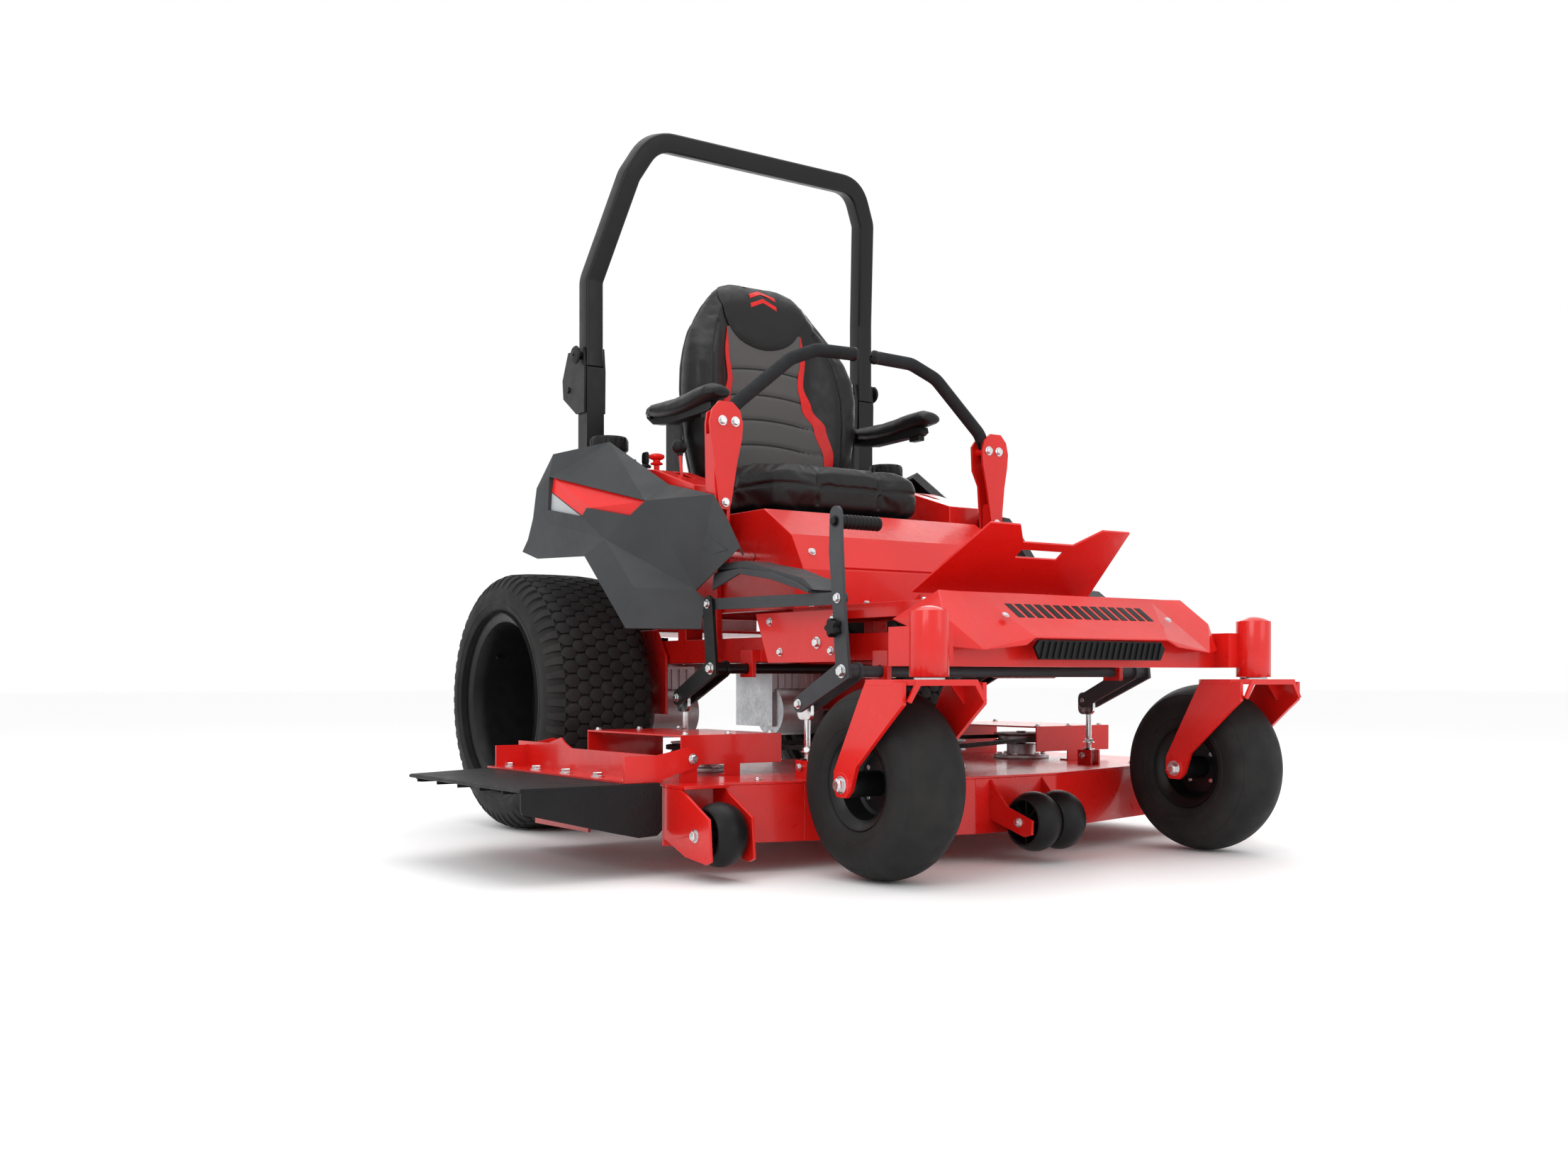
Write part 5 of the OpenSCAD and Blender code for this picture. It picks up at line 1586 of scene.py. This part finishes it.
def nose():
    """Folded front cover with rolled edges, rivets and a row of slanted slots, whose dark openings are
    painted shade.
    """
    shape = Shape()
    half = {
        "m0": (0, -901, 557), "m1": (252, -901, 557), "n1": (192, -998, 475), "n0": (0, -998, 475),
        "q0": (0, -891, 568), "q1": (286, -891, 568), "s0": (0, -862, 566), "s1": (286, -862, 566),
        "t1": (354, -891, 569), "u1": (385, -945, 514), "w1": (329, -996, 449), "x1": (221, -1003, 460),
        "y1": (390, -790, 513), "z1": (390, -966, 455),
    }
    names = list(half)
    faces = ["m0 m1 n1 n0", "q0 q1 m1 m0", "s0 s1 q1 q0", "q1 t1 u1", "q1 u1 w1", "m1 q1 w1", "m1 w1 n1",
             "n1 w1 x1", "t1 y1 u1", "u1 z1 w1", "u1 y1 z1"]
    shape.add(half.values(), [[names.index(n) for n in f.split()] for f in faces])
    ob = make("nose_cover", shape.both(), "chassis", RED, ["nose_plate"])
    bm = bmesh.new()
    bm.from_mesh(ob.data)
    bmesh.ops.remove_doubles(bm, verts=bm.verts, dist=0.0003)
    bmesh.ops.recalc_face_normals(bm, faces=bm.faces)
    if sum(f.normal.y * f.calc_area() for f in bm.faces) > 0:
        bmesh.ops.reverse_faces(bm, faces=bm.faces)
    bm.to_mesh(ob.data)
    bm.free()
    solid = ob.modifiers.new("sheet", "SOLIDIFY")
    solid.thickness = 0.004
    solid.offset = -1.0
    bevel(ob, 2.2, 3, 9)
    trim = Shape()
    d = unit((0, -97, -82))
    up = unit((0, 82, -97)) * -1
    # The slots are not cut through: each is a thin black slab on the plate, painted shade where the opening
    # shows the dark inside.
    for k in range(-7, 8):
        base = Vector((k * 27, -901, 557)) + d * 42
        ring = [base + Vector((x, 0, 0)) - d * t for x, t in ((-13, 22), (5, 22), (13, -22), (-5, -22))]
        trim.rings([[p - up * 2 for p in ring], [p + up * 0.9 for p in ring]], 0)
    for s in (-1, 1):
        trim.bolt(Vector((s * 237, -958, 519)), up, 6.5, 1, 2.5)
    make("nose_slot_shade_and_rivets", trim, "chassis", [PLASTIC, ZINC], (), 0.4, 35)
    grille = Shape()
    grille.prism([(-176, 431), (176, 431), (190, 455), (178, 470), (-178, 470), (-190, 455)], "y", -992, -985)
    for k in range(-10, 11):
        x = k * 17
        grille.prism([(x - 6, 433), (x - 3, 433), (x + 7, 467), (x + 4, 467)], "y", -996, -991)
    make("nose_grille", grille, "chassis", PLASTIC, ["nose_inlay"], 0.8, 35)


# ---- cutting deck ----


def chute():
    """Moulded rubbery chute: ribbed top, curled outer lip and a deep front wall."""
    shape = Shape()
    top = [(-1095, -562), (-1090, -566), (-797, -566), (-797, 99), (-872, 99), (-1096, -2)]
    shape.prism(top, "z", 179.5, 186.5)
    wall = [(-1092, 138), (-1000, 116), (-900, 92), (-845, 80), (-803, 82), (-792, 92), (-792, 180),
            (-1096, 180), (-1096, 144)]
    shape.prism(wall, "y", -566, -559)
    lip = [(-1096, -566, 182), (-1096, -2, 182)]
    shape.sweep([Vector(p) for p in lip], circle(3.6, 12), 0)
    for y in (-470, -360, -250, -140, -30):
        shape.box((-1090 + max(0, y + 5) * 2, y, 170), (-880, y + 5, 181))
    shape.prism([(-1085, 176), (-985, 176), (-985, 168), (-1075, 168)], "y", -10, -3)
    make("discharge_chute", shape, "chute", LEATHERED, ["chute_flap"], 1.8, 30)


def roller(name, xs, y, body, node):
    """Anti-scalp rollers: domed tread, open spoked sides and a bushed hub."""
    shape = Shape()
    for x in xs:
        centre = (x, y, 90)
        tread = [(46, -33), (51, -33), (56, -26), (60.5, -17), (63, -7), (63.6, 0), (63, 7), (60.5, 17),
                (56, 26),
                 (51, 33), (46, 33), (44, 20), (43, 0), (44, -20)]
        loop = smooth_loop([(r, t, 0) for r, t in tread], 2)
        shape.lathe([(p.x, p.y) for p in loop], centre, (1, 0, 0), 80)
        shape.lathe([(6.5, -33), (15, -33), (17, -30), (17, 30), (15, 33), (6.5, 33)], centre, (1, 0, 0), 36)
        shape.lathe([(14, -3), (46, -3), (46, 3), (14, 3)], centre, (1, 0, 0), 64)
        for k in range(8):
            q = math.radians(45 * k)
            a, b = Vector((0, math.cos(q), math.sin(q))), Vector((0, -math.sin(q), math.cos(q)))
            base = Vector(centre)
            ring = [base + a * 15 - b * 1.8, base + a * 46 - b * 1.8, base + a * 46 + b * 1.8,
                    base + a * 15 + b * 1.8]
            shape.rings([[p + Vector((t, 0, 0)) for p in ring] for t in (-24, 24)])
    make(name, shape, body, PLASTIC, [node], 0.8, 35)


# ---- dressing the CAD nodes ----


def dress_all():
    made = {
        "main_frame": RED, "front_axle": RED, "floor_pan": RED, "foot_plate": RED, "seat_pod": RED,
        "rops_posts": BLACK, "engine_block": CAST, "drive_pulleys": STEEL, "rear_bumper": BLACK,
        "transaxles": CAST, "deck_shell": RED,
        "deck_brackets": RED, "belt_covers": RED, "spindle_housings": CAST, "blade_right": STEEL,
        "blade_centre": STEEL,
        "blade_left": STEEL, "deck_belt": BELT, "chute_bracket": RED,
        "tie_bars": GREY, "seat_base": BLACK,
    }
    soft = {"front_axle": 3.0, "rops_posts": 4.0, "rear_bumper": 4.0, "main_frame": 2.0, "seat_pod": 3.0}
    for node, mat in made.items():
        dress(node, mat, soft.get(node, 1.0))
    # The sills along the floor are moulded plastic
    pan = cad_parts["floor_pan"]
    pan.data.materials.append(SHELL)
    for face in pan.data.polygons:
        if abs((pan.matrix_world @ face.center).x * 1000 - CENTRE) > 373:
            face.material_index = 1


# ---- stage ----


def stage():
    me = bpy.data.meshes.new("floor")
    me.from_pydata([(-40, -40, 0), (40, -40, 0), (40, 40, 0), (-40, 40, 0)], [], [[0, 1, 2, 3]])
    g = Graph("pale_floor")
    g.set(Roughness=0.6, Specular_IOR_Level=0.2)
    g.out("Base Color", g.mixed(g.noise(0.6), (0.955, 0.955, 0.955), (0.975, 0.975, 0.975)))
    me.materials.append(g.mat)
    floor = bpy.data.objects.new("floor", me)
    floor.location.z = -0.0005
    scene.collection.objects.link(floor)
    world = bpy.data.worlds.new("studio")
    world.use_nodes = True
    world.node_tree.nodes["Background"].inputs["Color"].default_value = (1, 1, 1, 1)
    world.node_tree.nodes["Background"].inputs["Strength"].default_value = 1.0
    scene.world = world


def area(name, place, target, size, power, colour=(1, 1, 1)):
    light = bpy.data.lights.new(name, "AREA")
    light.shape = "RECTANGLE"
    light.size, light.size_y = size
    light.energy = power
    light.color = colour
    ob = bpy.data.objects.new(name, light)
    ob.location = place
    ob.rotation_euler = (Vector(target) - Vector(place)).to_track_quat("-Z", "Y").to_euler()
    scene.collection.objects.link(ob)


def lights_and_camera():
    area("overhead", (0.1, 0.0, 4.4), (0.1, 0.1, 0), (3.6, 4.2), 60)
    area("key", (-4.2, -2.6, 3.2), (0.0, 0.0, 0.7), (2.4, 2.2), 55)
    area("front", (1.2, -5.4, 2.2), (0.1, -0.4, 0.6), (2.6, 1.6), 22)
    area("rim", (3.8, 3.4, 2.6), (0.1, 0.3, 0.8), (2.0, 2.4), 45)
    cam = bpy.data.cameras.new("camera")
    cam.sensor_width = 36
    cam.lens = 34.69
    cam.shift_y = 0.0572
    cam.clip_start, cam.clip_end = 0.05, 200
    ob = bpy.data.objects.new("camera", cam)
    ob.location = (-2.1441, -3.1647, 0.3949)
    ob.rotation_euler = (math.radians(90), 0, math.radians(-34.73))
    scene.collection.objects.link(ob)
    scene.camera = ob


def build():
    stage()
    lights_and_camera()
    for side in ("right", "left"):
        rear_tyre(side)
        rear_rim(side)
        caster_tyre(side)
        caster_rim(side)
        caster_fork(side)
        lap_bar(side)
        control_arm(side)
        fender(side)
        fuel_cap(side)
    roll_hoop()
    hoop_pins()
    seat()
    armrest("right")
    armrest("left")
    nose()
    chute()
    roller("scalp_roller_pair", (-36, 36), -830, "rollers_centre", "scalp_rollers_centre")
    roller("scalp_wheel_right", (-730,), -680, "roller_right", "scalp_roller_right")
    roller("scalp_wheel_left", (730,), -680, "roller_left", "scalp_roller_left")
    lift_cranks()
    deck_fittings()
    springs()
    frame_fasteners()
    dash_controls()
    engine()
    drive_details()
    seat_frame()
    pod_panel()
    dress_all()


build()
